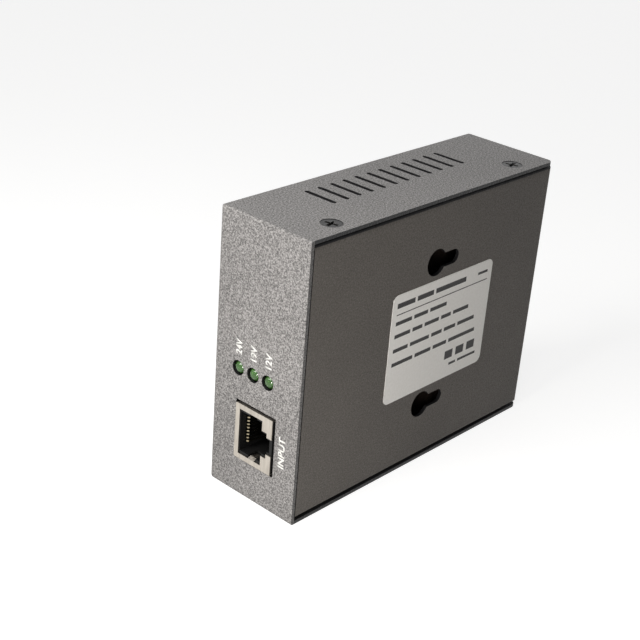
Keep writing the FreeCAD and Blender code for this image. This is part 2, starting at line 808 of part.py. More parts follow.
def board_screws():
    """Pan-head screws that hold the board down on its posts."""
    screw = pan_screw("board_screw", "XZ", size.board_screw_reach)
    bind(screw, "Placement.Base.x", size.board_hole_inset)
    bind(screw, "Placement.Base.y", size.board_hole_place)
    bind(screw, "Placement.Base.z", board_top)
    finish(four_of("board_screws", screw), "board_screws")


def circuit_board():
    """The board that carries everything inside."""
    body = new_body("circuit_board")
    left = size.screw_length + size.board_side_gap
    right = size.case_width - left
    front, back = size.board_end_gap, size.case_length - size.board_end_gap
    pad(body, "XY", board_bottom, size.board_thickness, rectangle(left, front, right, back))
    corners = [(x, y, None) for x in (left, right) for y in (front, back)]
    round_edges(body, size.board_corner_radius, corners)
    radius = size.screw_radius + size.board_hole_gap
    holes = [
        circle(x, y, radius)
        for x in (size.board_hole_inset, size.case_width - size.board_hole_inset)
        for y in (size.board_hole_place, size.case_length - size.board_hole_place)
    ]
    pocket(body, "XY", board_bottom, size.board_thickness, *holes)
    finish(body, "circuit_board")


def rating_label():
    """The sticker on the outside of the bottom plate."""
    body = new_body("rating_label")
    left, right = case_middle - size.label_width / 2, case_middle + size.label_width / 2
    front, back = size.label_place, size.label_place + size.label_length
    pad(body, "XY", -size.label_thickness, size.label_thickness, rectangle(left, front, right, back))
    round_edges(body, size.label_radius, [(x, y, None) for x in (left, right) for y in (front, back)])
    finish(body, "rating_label")


def mouth(top, steps):
    """A stepped outline, widest at its top: each step is a width and the level it reaches down to."""
    middle = size.jack_width / 2
    right = []
    above = top
    for width, low in steps:
        right += [(middle + width / 2, above), (middle + width / 2, low)]
        above = low
    left = [(size.jack_width - x, z) for x, z in reversed(right)]
    return shape(right + left)


def plug_roof():
    """The roof of the plug's room, above the board."""
    return size.jack_height - size.insert_roof


def insert_face():
    """The front of the insert, behind the front of the shield."""
    return size.tinplate + size.insert_gap


def jack_shield(name):
    """Folded tinplate round a network jack, open towards the board, with a stepped mouth."""
    body = new_body(name)
    tin = size.tinplate
    width, depth, height = size.jack_width, size.jack_depth, size.jack_height
    pad(body, "XY", 0, height, rectangle(0, 0, width, depth))
    round_edges(body, size.shield_radius, [(0, None, height), (width, None, height)])
    pocket(body, "XY", -tin, height, rectangle(tin, tin, width - tin, depth - tin))
    steps = [
        (width - size.frame_bar * 2, size.mouth_floor),
        (size.mouth_mid_width, size.mouth_step),
        (size.mouth_low_width, -tin),
    ]
    pocket(body, "XZ", -tin, tin * 2, mouth(height - size.frame_bar, steps))
    edge, reach, bend = size.frame_bar, size.finger_reach, size.finger_bend
    tip = edge + size.finger_bulge
    finger = [
        (edge - tin, 0),
        (edge, 0),
        (tip, bend),
        (edge, reach),
        (edge - tin, reach),
        (tip - tin, bend + tin),
        (edge - tin, tin),
    ]
    other_finger = [(width - x, y) for x, y in finger]
    pad(body, "XY", size.finger_height, size.finger_width, shape(finger), shape(other_finger))
    return body


def jack_insert(name):
    """The moulded part of a network jack, with room for a plug and its latch."""
    body = new_body(name)
    face = insert_face()
    width, depth = size.jack_width, size.jack_depth
    top = size.jack_height - face
    pad(body, "XY", 0, top, rectangle(face, face, width - face, depth - face))
    steps = [
        (size.plug_width, size.mouth_floor),
        (size.latch_width, size.mouth_step),
        (size.latch_slot_width, size.latch_floor),
    ]
    room_end = face + size.plug_depth
    pocket(body, "XZ", 0, room_end, mouth(plug_roof(), steps))
    window_low = size.finger_height - size.finger_room
    window_high = size.finger_height + size.finger_width + size.finger_room
    window = rectangle(0, window_low, size.finger_reach + size.finger_room, window_high)
    pocket(body, "YZ", 0, width, window)
    wire = size.contact_wire
    half = wire / 2 + size.insert_gap
    first = first_contact()
    groove = rectangle(first - half, face + size.contact_lip, first + half, room_end)
    groove_cut = pocket(body, "XY", plug_roof() - wire, wire * 2, groove)
    repeat(body, groove_cut, "X", size.contact_pitch, size.contact_count)
    return body


def first_contact():
    """The middle of a jack's first wire."""
    return size.jack_width / 2 - size.contact_pitch * (size.contact_count - 1) / 2


def jack_contacts(name):
    """Eight spring wires, folded back at the front, with their free ends in the mouth."""
    body = new_body(name, several=True)
    wire, fold = size.contact_wire, size.contact_fold
    roof = plug_roof() + wire
    room_end = insert_face() + size.plug_depth
    free_end = room_end - size.contact_setback
    low = plug_roof() - size.contact_drop - wire
    turn = insert_face() + size.contact_lip + fold
    outline = shape([
        (room_end, roof),
        (turn, roof, about(turn, roof - fold)),
        (turn, roof - fold * 2),
        (free_end, low),
        (free_end, low + wire),
        (turn, roof - fold * 2 + wire, about(turn, roof - fold, clockwise=True)),
        (turn, roof - wire),
        (room_end, roof - wire),
    ])
    one = pad(body, "YZ", first_contact() - wire / 2, wire, outline)
    repeat(body, one, "X", size.contact_pitch, size.contact_count)
    return body


def network_jacks():
    """The power input jack, and the data jack that faces the other way."""
    makers = (("shield", jack_shield), ("insert", jack_insert), ("contacts", jack_contacts))
    half = size.jack_width / 2
    for part, make in makers:
        near = make("power_jack_" + part)
        finish(near, near.Name, size.power_jack_place - half, -size.jack_proud, board_top)
        far = make("data_jack_" + part)
        back = size.case_length + size.jack_proud
        finish(far, far.Name, size.data_jack_place + half, back, board_top, half_turn=True)


def outlet_levels():
    """The back of the power output jack along the case, and the height of its axis."""
    return size.case_length - size.outlet_depth, board_top + size.outlet_hole_height


def outlet_body():
    """The moulded power output jack: a square front and a round barrel on a foot."""
    body = new_body("outlet_body")
    middle, front = outlet_across(), size.case_length
    rear, axis = outlet_levels()
    barrel, barrel_length = size.outlet_barrel, size.outlet_depth - size.outlet_front
    half = size.outlet_width / 2
    block = rectangle(middle - half, board_top, middle + half, board_top + size.outlet_height)
    pad(body, "XZ", front - size.outlet_front, size.outlet_front, block)
    barrel_outline = shape([
        (middle - barrel, board_top),
        (middle + barrel, board_top),
        (middle + barrel, axis, about(middle, axis)),
        (middle - barrel, axis),
    ])
    pad(body, "XZ", rear, barrel_length, barrel_outline)
    hole = circle(middle, axis, size.outlet_hole_radius)
    pocket(body, "XZ", front - size.outlet_hole_depth, size.outlet_depth, hole)
    gap = size.outlet_pin_gap
    behind = rear - gap
    pin_hole = circle(middle, axis, size.outlet_pin_radius + gap)
    pocket(body, "XZ", behind, size.outlet_depth, pin_hole)
    leaf_low = axis - size.outlet_hole_radius - size.outlet_leaf
    leaf_half = size.outlet_leaf_width / 2 + gap
    leaf_room = rectangle(middle - leaf_half, leaf_low, middle + leaf_half, axis)
    pocket(body, "XZ", behind, barrel_length + gap, leaf_room)
    finish(body, "outlet_body")


def outlet_pin():
    """The centre pin, with a round tip, held in the jack's back wall."""
    body = new_body("outlet_pin")
    radius = size.outlet_pin_radius
    length = size.outlet_depth - size.outlet_pin_recess
    shoulder = length - radius
    turned(body, "XY", "V_Axis", [
        (0, 0),
        (radius, 0),
        (radius, shoulder, about(0, shoulder)),
        (0, length),
    ])
    rear, axis = outlet_levels()
    finish(body, "outlet_pin", outlet_across(), rear, axis)


def outlet_leaf():
    """The bent spring that touches the outside of a plug."""
    body = new_body("outlet_leaf")
    rear, axis = outlet_levels()
    thick = size.outlet_leaf
    low = axis - size.outlet_hole_radius - thick
    bend = rear + size.outlet_leaf_foot
    rise = size.outlet_leaf_rise
    end = size.case_length - size.outlet_front - size.outlet_pin_gap
    outline = shape([
        (rear, low),
        (bend - size.outlet_leaf_slope, low),
        (bend, low + rise),
        (end, low),
        (end, low + thick),
        (bend, low + rise + thick),
        (bend - size.outlet_leaf_slope, low + thick),
        (rear, low + thick),
    ])
    left = outlet_across() - size.outlet_leaf_width / 2
    pad(body, "YZ", left, size.outlet_leaf_width, outline)
    finish(body, "outlet_leaf")


def switch_faces():
    """The front and the back of the slide switch along the case."""
    front = size.case_length - size.steel - size.switch_panel_gap
    return front, front - size.switch_frame_depth


def switch_frame_half():
    """Half the length of the switch frame, which leaves the slider room to travel."""
    return (size.slider_length + size.switch_travel) / 2 + size.slide_gap + size.switch_tinplate


def switch_frame():
    """The steel frame behind the end wall: a front with a slot, four folded sides and two feet."""
    body = new_body("switch_frame")
    front, rear = switch_faces()
    across, middle = switch_across(), switch_level()
    tin, depth = size.switch_tinplate, size.switch_frame_depth
    half, half_height = switch_frame_half(), size.switch_frame_height / 2
    pad(body, "XZ", rear, depth, centred(across, middle, half, half_height))
    pocket(body, "XZ", rear - tin, depth, centred(across, middle, half - tin, half_height - tin))
    pocket(body, "XZ", front - tin * 2, tin * 3, centred(across, middle, *knob_slot()))
    feet = [
        rectangle(edge, board_top, edge + tin, board_top + size.switch_lift)
        for edge in (across - half, across + half - tin)
    ]
    pad(body, "XZ", rear, depth, *feet)
    finish(body, "switch_frame")


def switch_base():
    """The moulded base that closes the back of the switch frame."""
    body = new_body("switch_base")
    inset = size.switch_tinplate + size.switch_base_gap
    half, half_height = switch_frame_half() - inset, size.switch_frame_height / 2 - inset
    outline = centred(switch_across(), switch_level(), half, half_height)
    pad(body, "XZ", switch_faces()[1], size.switch_base_depth, outline)
    finish(body, "switch_base")


def switch_terminals():
    """Bent pins behind the switch, down to the board."""
    body = new_body("switch_terminals", several=True)
    rear, middle = switch_faces()[1], switch_level()
    wire, reach = size.terminal_wire, size.terminal_reach
    outline = shape([
        (rear, middle),
        (rear, middle + wire),
        (rear - reach, middle + wire),
        (rear - reach, board_top),
        (rear - reach + wire, board_top),
        (rear - reach + wire, middle),
    ])
    span = size.terminal_pitch * (size.terminal_count - 1)
    pin = pad(body, "YZ", switch_across() - span / 2 - wire / 2, wire, outline)
    repeat(body, pin, "X", size.terminal_pitch, size.terminal_count)
    finish(body, "switch_terminals")


def knob_across():
    """Where the knob rests: the end of its travel that is further from the near side wall."""
    return switch_across() + size.switch_travel / 2


def slider_back():
    """The back face of the slider, along the case."""
    return switch_faces()[0] - size.switch_tinplate - size.slide_gap - size.slider_depth


def switch_knob():
    """The knob and its slider in one moulding, with grip ribs on the end that shows."""
    body = new_body("switch_knob")
    across, middle = knob_across(), switch_level()
    half_height = size.switch_frame_height / 2 - size.switch_tinplate - size.slide_gap
    slider = centred(across, middle, size.slider_length / 2, half_height)
    pad(body, "XZ", slider_back(), size.slider_depth, slider)
    tip = size.case_length + size.knob_proud
    half_width = size.knob_width / 2
    stem = centred(across, middle, size.knob_length / 2, half_width)
    pad(body, "XZ", slider_back(), tip - slider_back(), stem)
    half_gap = size.knob_rib_gap / 2
    grooves = [
        centred(across + size.knob_rib_pitch * place, middle, half_gap, size.knob_width)
        for place in (-1.5, -0.5, 0.5, 1.5)
    ]
    pocket(body, "XZ", tip - size.knob_rib_depth, size.knob_rib_depth * 2, *grooves)
    finish(body, "switch_knob")


def switch_wiper():
    """The contact clip on the back of the slider, with a window in it."""
    body = new_body("switch_wiper")
    across, middle = knob_across(), switch_level()
    thick = size.wiper_thickness
    back = slider_back() - thick
    half, window = size.slider_length / 2 - size.wiper_margin, size.wiper_window / 2
    pad(body, "XZ", back, thick, centred(across, middle, half, size.wiper_height / 2))
    pocket(body, "XZ", back - thick, thick * 3, centred(across, middle, half / 2, window))
    finish(body, "switch_wiper")


def slide_switch():
    """The slide switch, whose knob passes through the data end wall."""
    switch_frame()
    switch_base()
    switch_terminals()
    switch_knob()
    switch_wiper()


def lamp(name, level):
    """A lamp: a round lens with a domed tip and a flange at its back."""
    body = new_body(name)
    radius, length = size.lamp_radius, size.lamp_length
    flange_start = length - size.lamp_flange
    turned(body, "XY", "V_Axis", [
        (0, 0, about(0, radius)),
        (radius, radius),
        (radius, flange_start),
        (size.lamp_flange_radius, flange_start),
        (size.lamp_flange_radius, length),
        (0, length),
    ])
    finish(body, name, lamp_across(), -size.lamp_proud, level)


def lamp_holder():
    """The upright block that carries the three lamps, with a channel for each lamp's leads."""
    body = new_body("lamp_holder")
    across, half = lamp_across(), size.holder_width / 2
    front, depth = lamp_back(), size.holder_depth
    height = lamp_levels()[-1] + size.holder_headroom - board_top
    pad(body, "XY", board_top, height, rectangle(across - half, front, across + half, front + depth))
    room_height = size.lamp_lead / 2 + size.lamp_lead_room
    room_half = size.lamp_lead_pitch / 2 + room_height
    channels = [centred(across, level, room_half, room_height) for level in lamp_levels()]
    pocket(body, "XZ", front - room_height, depth + room_height * 2, *channels)
    finish(body, "lamp_holder")


def lamp_leads():
    """Two bent leads from each lamp, through the holder and down to the board."""
    body = new_body("lamp_leads", several=True)
    lead = size.lamp_lead
    start = lamp_back()
    left = lamp_across() - size.lamp_lead_pitch / 2 - lead / 2
    for number, level in enumerate(lamp_levels()):
        bend = start + size.holder_depth + lead * (2 * number + 1)
        outline = shape([
            (start, level - lead / 2),
            (bend, level - lead / 2),
            (bend, board_top),
            (bend + lead, board_top),
            (bend + lead, level + lead / 2),
            (start, level + lead / 2),
        ])
        for offset in (0, size.lamp_lead_pitch):
            pad(body, "YZ", left + offset, lead, outline)
    finish(body, "lamp_leads")


def lamps():
    """The three lamps with what carries them."""
    for name, level in zip(LAMP_NAMES, lamp_levels()):
        lamp(name, level)
    lamp_holder()
    lamp_leads()


def flat_package(name, width, length, height, lead_count, x, y):
    """A moulded flat package just above the board, with a row of bent leads down each side."""
    body = new_body(name)
    thick, wide = size.lead_thickness, size.lead_width
    pad(body, "XY", thick, height - thick, rectangle(0, 0, width, length))
    first = length / 2 - size.lead_pitch * (lead_count - 1) / 2 - wide / 2
    shoulder = height / 2
    bend, foot = size.lead_shoulder, size.lead_shoulder + size.lead_foot
    for side, outward in ((0, -1), (width, 1)):
        outline = shape([
            (side, shoulder),
            (side + bend * outward, shoulder),
            (side + bend * outward, thick),
            (side + foot * outward, thick),
            (side + foot * outward, 0),
            (side + (bend - thick) * outward, 0),
            (side + (bend - thick) * outward, shoulder - thick),
            (side, shoulder - thick),
        ])
        lead = pad(body, "XZ", first, wide, outline)
        repeat(body, lead, "Y", size.lead_pitch, lead_count)
    finish(body, name, x, y, board_top)


def signal_parts():
    """The data transformer and the two flat chips behind the power input jack."""
    flat_package(
        "data_transformer",
        size.magnetics_width,
        size.magnetics_length,
        size.magnetics_height,
        size.magnetics_lead_count,
        size.magnetics_x,
        behind_jack + size.magnetics_y,
    )
    for number, name in enumerate(("controller_chip", "interface_chip")):
        flat_package(
            name,
            size.chip_width,
            size.chip_length,
            size.chip_height,
            size.chip_lead_count,
            size.chip_x + size.chip_pitch * number,
            behind_jack + size.chip_y,
        )


def small_parts():
    """Two rows of small chip resistors and capacitors on the board."""
    body = new_body("small_parts", several=True)
    for number in range(2):
        start = size.small_row_pitch * number
        block = rectangle(0, start, size.small_part_width, start + size.small_part_length)
        part = pad(body, "XY", 0, size.small_part_height, block)
        repeat(body, part, "X", size.small_part_pitch, size.small_part_count)
    finish(body, "small_parts", size.small_part_x, behind_jack + size.small_part_y, board_top)


def bridge_rectifiers():
    """Two flat moulded bridge rectifiers."""
    body = new_body("bridge_rectifiers", several=True)
    length = size.rectifier_length
    block = rectangle(0, 0, size.rectifier_width, length)
    package = pad(body, "XY", 0, size.rectifier_height, block)
    repeat(body, package, "Y", length + size.rectifier_gap, 2)
    beside_jack = size.power_jack_place + size.jack_width / 2
    finish(body, "bridge_rectifiers", beside_jack + size.rectifier_x, size.rectifier_y, board_top)


def optocoupler():
    """A small four-legged package that carries the feedback across the insulation."""
    body = new_body("optocoupler")
    lead, wide, long = size.coupler_lead, size.coupler_width, size.coupler_length
    lift, high = size.coupler_lift, size.coupler_height
    pad(body, "XY", lift, high - lift, rectangle(0, 0, wide, long))
    first = long / 2 - size.coupler_lead_pitch / 2
    for edge in (-lead, wide):
        for start in (first, first + size.coupler_lead_pitch):
            leg = rectangle(edge, start - lead / 2, edge + lead, start + lead / 2)
            pad(body, "XY", 0, high / 2, leg)
    finish(body, "optocoupler", size.coupler_x, size.coupler_y, board_top)


def input_choke():
    """A drum core with its winding in a sleeve."""
    body = new_body("input_choke")
    radius, waist = size.choke_radius, size.choke_waist
    height, flange = size.choke_height, size.choke_flange
    turned(body, "XZ", "V_Axis", [
        (0, 0),
        (radius, 0),
        (radius, flange),
        (waist, flange),
        (waist, height - flange),
        (radius, height - flange),
        (radius, height),
        (0, height),
    ])
    finish(body, "input_choke", size.choke_x, size.choke_y, board_top)


def output_inductor():
    """A ring core that lies flat, and a coil of thick wire round it."""
    wire, gap = size.coil_wire, size.coil_gap
    low, high = wire + gap, wire + gap + size.ring_height
    inner, outer = size.ring_hole, size.ring_radius
    along = size.case_length - size.ring_y
    core = new_body("inductor_ring")
    turned(core, "XZ", "V_Axis", [(inner, low), (outer, low), (outer, high), (inner, high)])
    finish(core, "inductor_ring", size.ring_x, along, board_top)
    coil = new_body("inductor_coil", several=True)
    outside = rectangle(inner - wire - gap, 0, outer + wire + gap, high + gap + wire)
    inside = rectangle(inner - gap, wire, outer + gap, high + gap)
    turn = pad(coil, "XZ", -wire / 2, wire, outside, inside)
    turns = coil.newObject("PartDesign::PolarPattern", "turns")
    turns.Originals = [turn]
    turns.Axis = (origin_feature(coil, "Z_Axis"), [""])
    turns.Angle = 360
    bind(turns, "Occurrences", size.coil_turns)
    coil.Tip = turns
    finish(coil, "inductor_coil", size.ring_x, along, board_top)


def can_pair(name, axis, x, y):
    """Two can capacitors side by side: the given place is the one that stands further back."""
    radius, height, rim = size.can_radius, size.can_height, size.can_rim
    can = new_body(name + "_can")
    turned(can, "XZ", "V_Axis", [
        (0, 0),
        (radius, 0),
        (radius, height - rim),
        (radius - rim, height),
        (0, height),
    ])
    other = mirrored(can, axis, -radius - size.can_gap / 2)
    finish(group(name, [can, other]), name, x, y, board_top)


def capacitors():
    """The capacitors before and after the power transformer."""
    input_x = size.case_width - size.input_can_inset
    can_pair("input_capacitors", "X", input_x, size.input_can_y)
    output_x = size.case_width - size.output_can_inset
    can_pair("output_capacitors", "Y", output_x, size.case_length - size.output_can_y)


def sink_left():
    """The side of the heat sink that is nearer to the near side wall."""
    return size.case_width - size.sink_inset - size.sink_width


def transistor_middles():
    """Where the two power transistors stand across the case."""
    middle = sink_left() + size.sink_width / 2
    half_step = (size.package_width + size.package_gap) / 2
    return middle - half_step, middle + half_step


def transistor_hole_level():
    """The height of the middle of the hole in a transistor."""
    return board_top + size.package_leg + size.package_height - size.package_hole


def heat_sink():
    """An extruded comb of fins with a flat face for the transistors."""
    body = new_body("heat_sink")
    left, plate_front = sink_left(), size.sink_y - size.sink_plate
    plate = rectangle(left, plate_front, left + size.sink_width, size.sink_y)
    pad(body, "XY", board_top, size.sink_height, plate)
    fin = rectangle(left, plate_front - size.fin_reach, left + size.fin_thickness, plate_front)
    first_fin = pad(body, "XY", board_top, size.sink_height, fin)
    step = (size.sink_width - size.fin_thickness) / (size.fin_count - 1)
    repeat(body, first_fin, "X", step, size.fin_count)
    radius = size.screw_radius + size.screw_gap
    holes = [circle(x, transistor_hole_level(), radius) for x in transistor_middles()]
    pocket(body, "XZ", plate_front, size.sink_plate, *holes)
    finish(body, "heat_sink")


def power_transistors():
    """Two moulded packages with three legs each, flat on the heat sink."""
    body = new_body("power_transistors", several=True)
    face, thick = size.sink_y, size.package_thickness
    foot, leg = board_top + size.package_leg, size.package_leg_width
    half = size.package_width / 2
    for middle in transistor_middles():
        block = rectangle(middle - half, foot, middle + half, foot + size.package_height)
        pad(body, "XZ", face, thick, block)
        hole = circle(middle, transistor_hole_level(), size.screw_radius + size.screw_gap)
        pocket(body, "XZ", face, thick, hole)
        legs = [
            rectangle(place - leg / 2, board_top, place + leg / 2, foot)
            for place in (middle - size.package_leg_pitch, middle, middle + size.package_leg_pitch)
        ]
        pad(body, "XZ", face + thick / 2, leg, *legs)
    finish(body, "power_transistors")


def transistor_screws():
    """Pan-head screws through the transistors into the heat sink."""
    screws = []
    for number, middle in enumerate(transistor_middles()):
        reach = size.package_thickness + size.sink_plate
        screw = pan_screw(f"transistor_screw_{number}", "XY", reach)
        bind(screw, "Placement.Base.x", middle)
        bind(screw, "Placement.Base.y", size.sink_y + size.package_thickness)
        bind(screw, "Placement.Base.z", transistor_hole_level())
        screws.append(screw)
    finish(group("transistor_screws", screws), "transistor_screws")


def tube_wall():
    """From the core's centre leg to the outside of the bobbin's tube."""
    return size.bobbin_gap + size.bobbin_wall


def winding_thickness():
    """What the core's windows leave for the winding."""
    window = size.core_width / 2 - size.core_leg - size.core_centre_leg / 2
    return window - tube_wall() - size.winding_room


def tube_half():
    """Half the width, height and length of the bobbin's tube."""
    half_length = size.core_length / 2 - size.core_leg - size.bobbin_gap
    half_width = size.core_centre_leg / 2 + tube_wall()
    return half_width, size.core_height / 2 + tube_wall(), half_length


def core_lift():
    """The core's underside above the board, which leaves room for the winding."""
    return tube_wall() + winding_thickness() + size.bobbin_lift


def place_on_board(piece, name):
    """Put a piece of the power transformer in its place, the core's underside at 0."""
    across = size.case_width - size.core_inset
    along = size.case_length / 2 - size.core_offset
    finish(piece, name, across, along, board_top + core_lift())


def transformer_core():
    """Two E-shaped ferrite halves that meet inside the winding."""
    half_core = new_body("core_half")
    half, end = size.core_width / 2, size.core_length / 2
    gap, centre = size.core_air_gap / 2, size.core_centre_leg / 2
    inner, back = half - size.core_leg, end - size.core_leg
    e_shape = shape([
        (half, gap),
        (half, end),
        (-half, end),
        (-half, gap),
        (-inner, gap),
        (-inner, back),
        (-centre, back),
        (-centre, gap),
        (centre, gap),
        (centre, back),
        (inner, back),
        (inner, gap),
    ])
    pad(half_core, "XY", 0, size.core_height, e_shape)
    both = group("transformer_core", [half_core, mirrored(half_core, "Y", 0)])
    place_on_board(both, "transformer_core")


def transformer_bobbin():
    """A moulded tube with a flange at each end and rails for the pins."""
    body = new_body("transformer_bobbin")
    half_width, half_height, half_length = tube_half()
    wall, rail = size.bobbin_wall, size.rail_length
    middle = size.core_height / 2
    pad(body, "XZ", -half_length, half_length * 2, centred(0, middle, half_width, half_height))
    thick = winding_thickness()
    flange = centred(0, middle, half_width + thick, half_height + thick)
    half_rail = size.core_width / 2
    rail_block = rectangle(-half_rail, size.pin_width - core_lift(), half_rail, -size.bobbin_gap)
    for flange_start, rail_start in (
        (-half_length, -half_length - rail),
        (half_length - wall, half_length),
    ):
        pad(body, "XZ", flange_start, wall, flange)
        pad(body, "XZ", rail_start, rail, rail_block)
    bore = centred(0, middle, half_width - wall, half_height - wall)
    pocket(body, "XZ", -half_length - wall, (half_length + wall) * 2, bore)
    place_on_board(body, "transformer_bobbin")


def transformer_winding():
    """Taped wire round the bobbin's tube."""
    body = new_body("transformer_winding")
    half_width, half_height, half_length = tube_half()
    gap = size.winding_gap
    thick = winding_thickness() - gap
    middle = size.core_height / 2
    along = half_length - size.bobbin_wall - gap
    side, rise = half_width + thick, half_height + thick
    pad(body, "XZ", -along, along * 2, centred(0, middle, side, rise))
    corners = [(x, None, z) for x in (-side, side) for z in (middle - rise, middle + rise)]
    round_edges(body, size.winding_radius, corners)
    pocket(body, "XZ", -along - gap, (along + gap) * 2, centred(0, middle, half_width, half_height))
    place_on_board(body, "transformer_winding")


def transformer_pins():
    """Two rows of short pins between the rails and the board."""
    body = new_body("transformer_pins", several=True)
    wide = size.pin_width
    first = size.pin_margin - size.core_width / 2
    pitch = (size.core_width - wide - size.pin_margin * 2) / (size.pin_count - 1)
    rail_middle = tube_half()[2] + size.rail_length / 2
    for along in (-rail_middle, rail_middle):
        foot = rectangle(first, along - wide / 2, first + wide, along + wide / 2)
        pin = pad(body, "XY", -core_lift(), wide, foot)
        repeat(body, pin, "X", pitch, size.pin_count)
    place_on_board(body, "transformer_pins")


def board_parts():
    """Everything on the board apart from the jacks, the switch and the lamps."""
    signal_parts()
    small_parts()
    bridge_rectifiers()
    optocoupler()
    input_choke()
    output_inductor()
    capacitors()
    heat_sink()
    power_transistors()
    transistor_screws()
    transformer_core()
    transformer_bobbin()
    transformer_winding()
    transformer_pins()


def check():
    """Stop if any object failed, any cut took nothing away, or any piece is not sound."""
    for thing in doc.Objects:
        if "Invalid" in thing.State or "Error" in thing.State:
            raise RuntimeError(f"{thing.Name} ({thing.Label}) failed: {thing.State}")
        if thing.TypeId == "PartDesign::Pocket":
            before = thing.BaseFeature.Shape.Volume
            if thing.Shape.Volume > before - SAME_PLACE:
                raise RuntimeError(f"{thing.Name} cuts nothing away")
    for piece in finished:
        if piece.Shape.isNull() or not piece.Shape.isValid():
            raise RuntimeError(f"{piece.Label} is not a sound solid")


def export():
    """Write each piece to a file of its own name."""
    os.makedirs("parts", exist_ok=True)
    for piece in finished:
        piece.Shape.exportStep(os.path.join("parts", piece.Label + ".step"))


case()
cover_screws()
board_posts()
board_screws()
circuit_board()
rating_label()
network_jacks()
outlet_body()
outlet_pin()
outlet_leaf()
slide_switch()
lamps()
board_parts()
doc.recompute()
check()
export()
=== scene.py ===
"""Dresses a power-over-Ethernet splitter: finishes for the CAD pieces, screws, print, lamps and studio."""

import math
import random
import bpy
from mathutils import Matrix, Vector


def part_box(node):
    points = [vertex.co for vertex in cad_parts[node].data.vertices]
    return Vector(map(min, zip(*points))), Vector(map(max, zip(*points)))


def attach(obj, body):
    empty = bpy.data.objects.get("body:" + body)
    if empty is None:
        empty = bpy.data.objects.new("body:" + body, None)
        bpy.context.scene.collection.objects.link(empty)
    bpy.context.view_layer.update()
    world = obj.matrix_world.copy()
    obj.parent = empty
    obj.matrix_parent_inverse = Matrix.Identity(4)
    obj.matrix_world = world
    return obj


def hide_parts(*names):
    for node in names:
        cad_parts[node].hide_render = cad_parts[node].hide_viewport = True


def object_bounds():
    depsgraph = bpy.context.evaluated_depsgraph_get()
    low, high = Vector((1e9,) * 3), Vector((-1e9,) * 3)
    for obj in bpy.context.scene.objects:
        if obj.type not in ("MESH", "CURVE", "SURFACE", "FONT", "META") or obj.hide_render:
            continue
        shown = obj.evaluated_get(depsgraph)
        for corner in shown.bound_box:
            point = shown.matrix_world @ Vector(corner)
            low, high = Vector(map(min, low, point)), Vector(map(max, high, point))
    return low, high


bl_info = {
    "name": "Power-over-Ethernet Splitter",
    "version": (1, 0, 0),
    "blender": (4, 5, 0),
    "location": "View3D > Sidebar > Splitter",
    "description": "Finishes, screws, printed marks and studio for the splitter",
    "category": "Object",
}

import bmesh
import bpy
from bpy.props import FloatProperty, FloatVectorProperty, IntProperty, PointerProperty
from bpy.types import Operator, Panel, PropertyGroup
from mathutils import Matrix, Vector

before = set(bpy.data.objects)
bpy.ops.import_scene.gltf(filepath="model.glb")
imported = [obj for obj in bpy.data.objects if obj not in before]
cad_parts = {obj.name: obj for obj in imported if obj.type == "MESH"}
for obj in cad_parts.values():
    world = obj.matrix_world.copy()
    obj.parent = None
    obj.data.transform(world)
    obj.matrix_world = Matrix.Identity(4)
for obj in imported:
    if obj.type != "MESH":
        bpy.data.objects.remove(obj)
cad_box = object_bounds()

MM = 0.001
CASE = "case"
ACROSS, ALONG, UP = Vector((1, 0, 0)), Vector((0, 1, 0)), Vector((0, 0, 1))
CASE_MIDDLE = Vector((0, 0, 40 * MM))
SHEET = 1.0 * MM  # thickness of the folded steel
HAIR = 0.005 * MM  # how far print lies off the face under it, so that the two don't flicker

# The marks on both ends, in millimetres
LAMP_MARKS = (("lamp_24v", "24V"), ("lamp_19v", "19V"), ("lamp_12v", "12V"))
LAMP_MARK_RISE, LAMP_MARK_SPAN = 6.2, 4.3
# Piece, words, what they stand beside, how far past it, and how long the words are
END_MARKS = (
    ("mark_input", "INPUT", "power_jack_shield", 3.2, 9.0),
    ("mark_data", "DATA", "data_jack_shield", 2.9, 8.2),
    ("mark_output", "OUTPUT", "outlet_body", 3.9, 9.6),
)
# Words beside the switch, then where the knob and the words stand, up from the middle of its slot
SWITCH_MARKS = (("12V", 3.0, 7.6), ("19V", 0.0, 0.0), ("24V", -3.0, -7.6))
SWITCH_MARK_GAP, SWITCH_MARK_SPAN = 3.2, 4.2
# A line to them runs straight out of the slot, and then turns off within a short step
LINE_RUN, LINE_STEP = 1.1, 0.5

# The label's print, in millimetres from its left and top edges. Each row has its start, its end, how
# far down it is, the height of its bars, and their shortest and longest length
LABEL_MARGIN = None  # the start of a row that begins at the margin
LABEL_ROWS = (
    (LABEL_MARGIN, 31.2, 3.3, 1.5, 6.5, 9.0),
    (36.6, 41.0, 3.3, 0.8, 4.0, 4.4),
    (LABEL_MARGIN, 23.4, 8.5, 1.15, 4.0, 9.0),
    (LABEL_MARGIN, 33.8, 12.3, 1.15, 4.0, 9.0),
    (LABEL_MARGIN, 37.2, 16.6, 1.15, 4.0, 9.0),
    (LABEL_MARGIN, 38.2, 20.8, 1.15, 4.0, 9.0),
    (27.8, 40.0, 28.7, 0.8, 3.0, 5.0),
)
RULE_END, RULE_DOWN, RULE_HEIGHT = 41.2, 5.9, 0.3
SQUARE_STARTS, SQUARE_WIDTH, SQUARE_HEIGHT, SQUARES_DOWN = (25.4, 30.4, 35.4), 3.6, 2.6, 25.4


def linear(code):
    """An sRGB colour such as "#7a7877", as the linear red, green and blue that Blender works in."""
    channels = [int(code[i:i + 2], 16) / 255 for i in (1, 3, 5)]
    return [c / 12.92 if c <= 0.04045 else ((c + 0.055) / 1.055) ** 2.4 for c in channels]


def rgba(colour, gain=1.0):
    """A colour with full alpha, made lighter or darker."""
    return [min(1.0, c * gain) for c in colour[:3]] + [1.0]


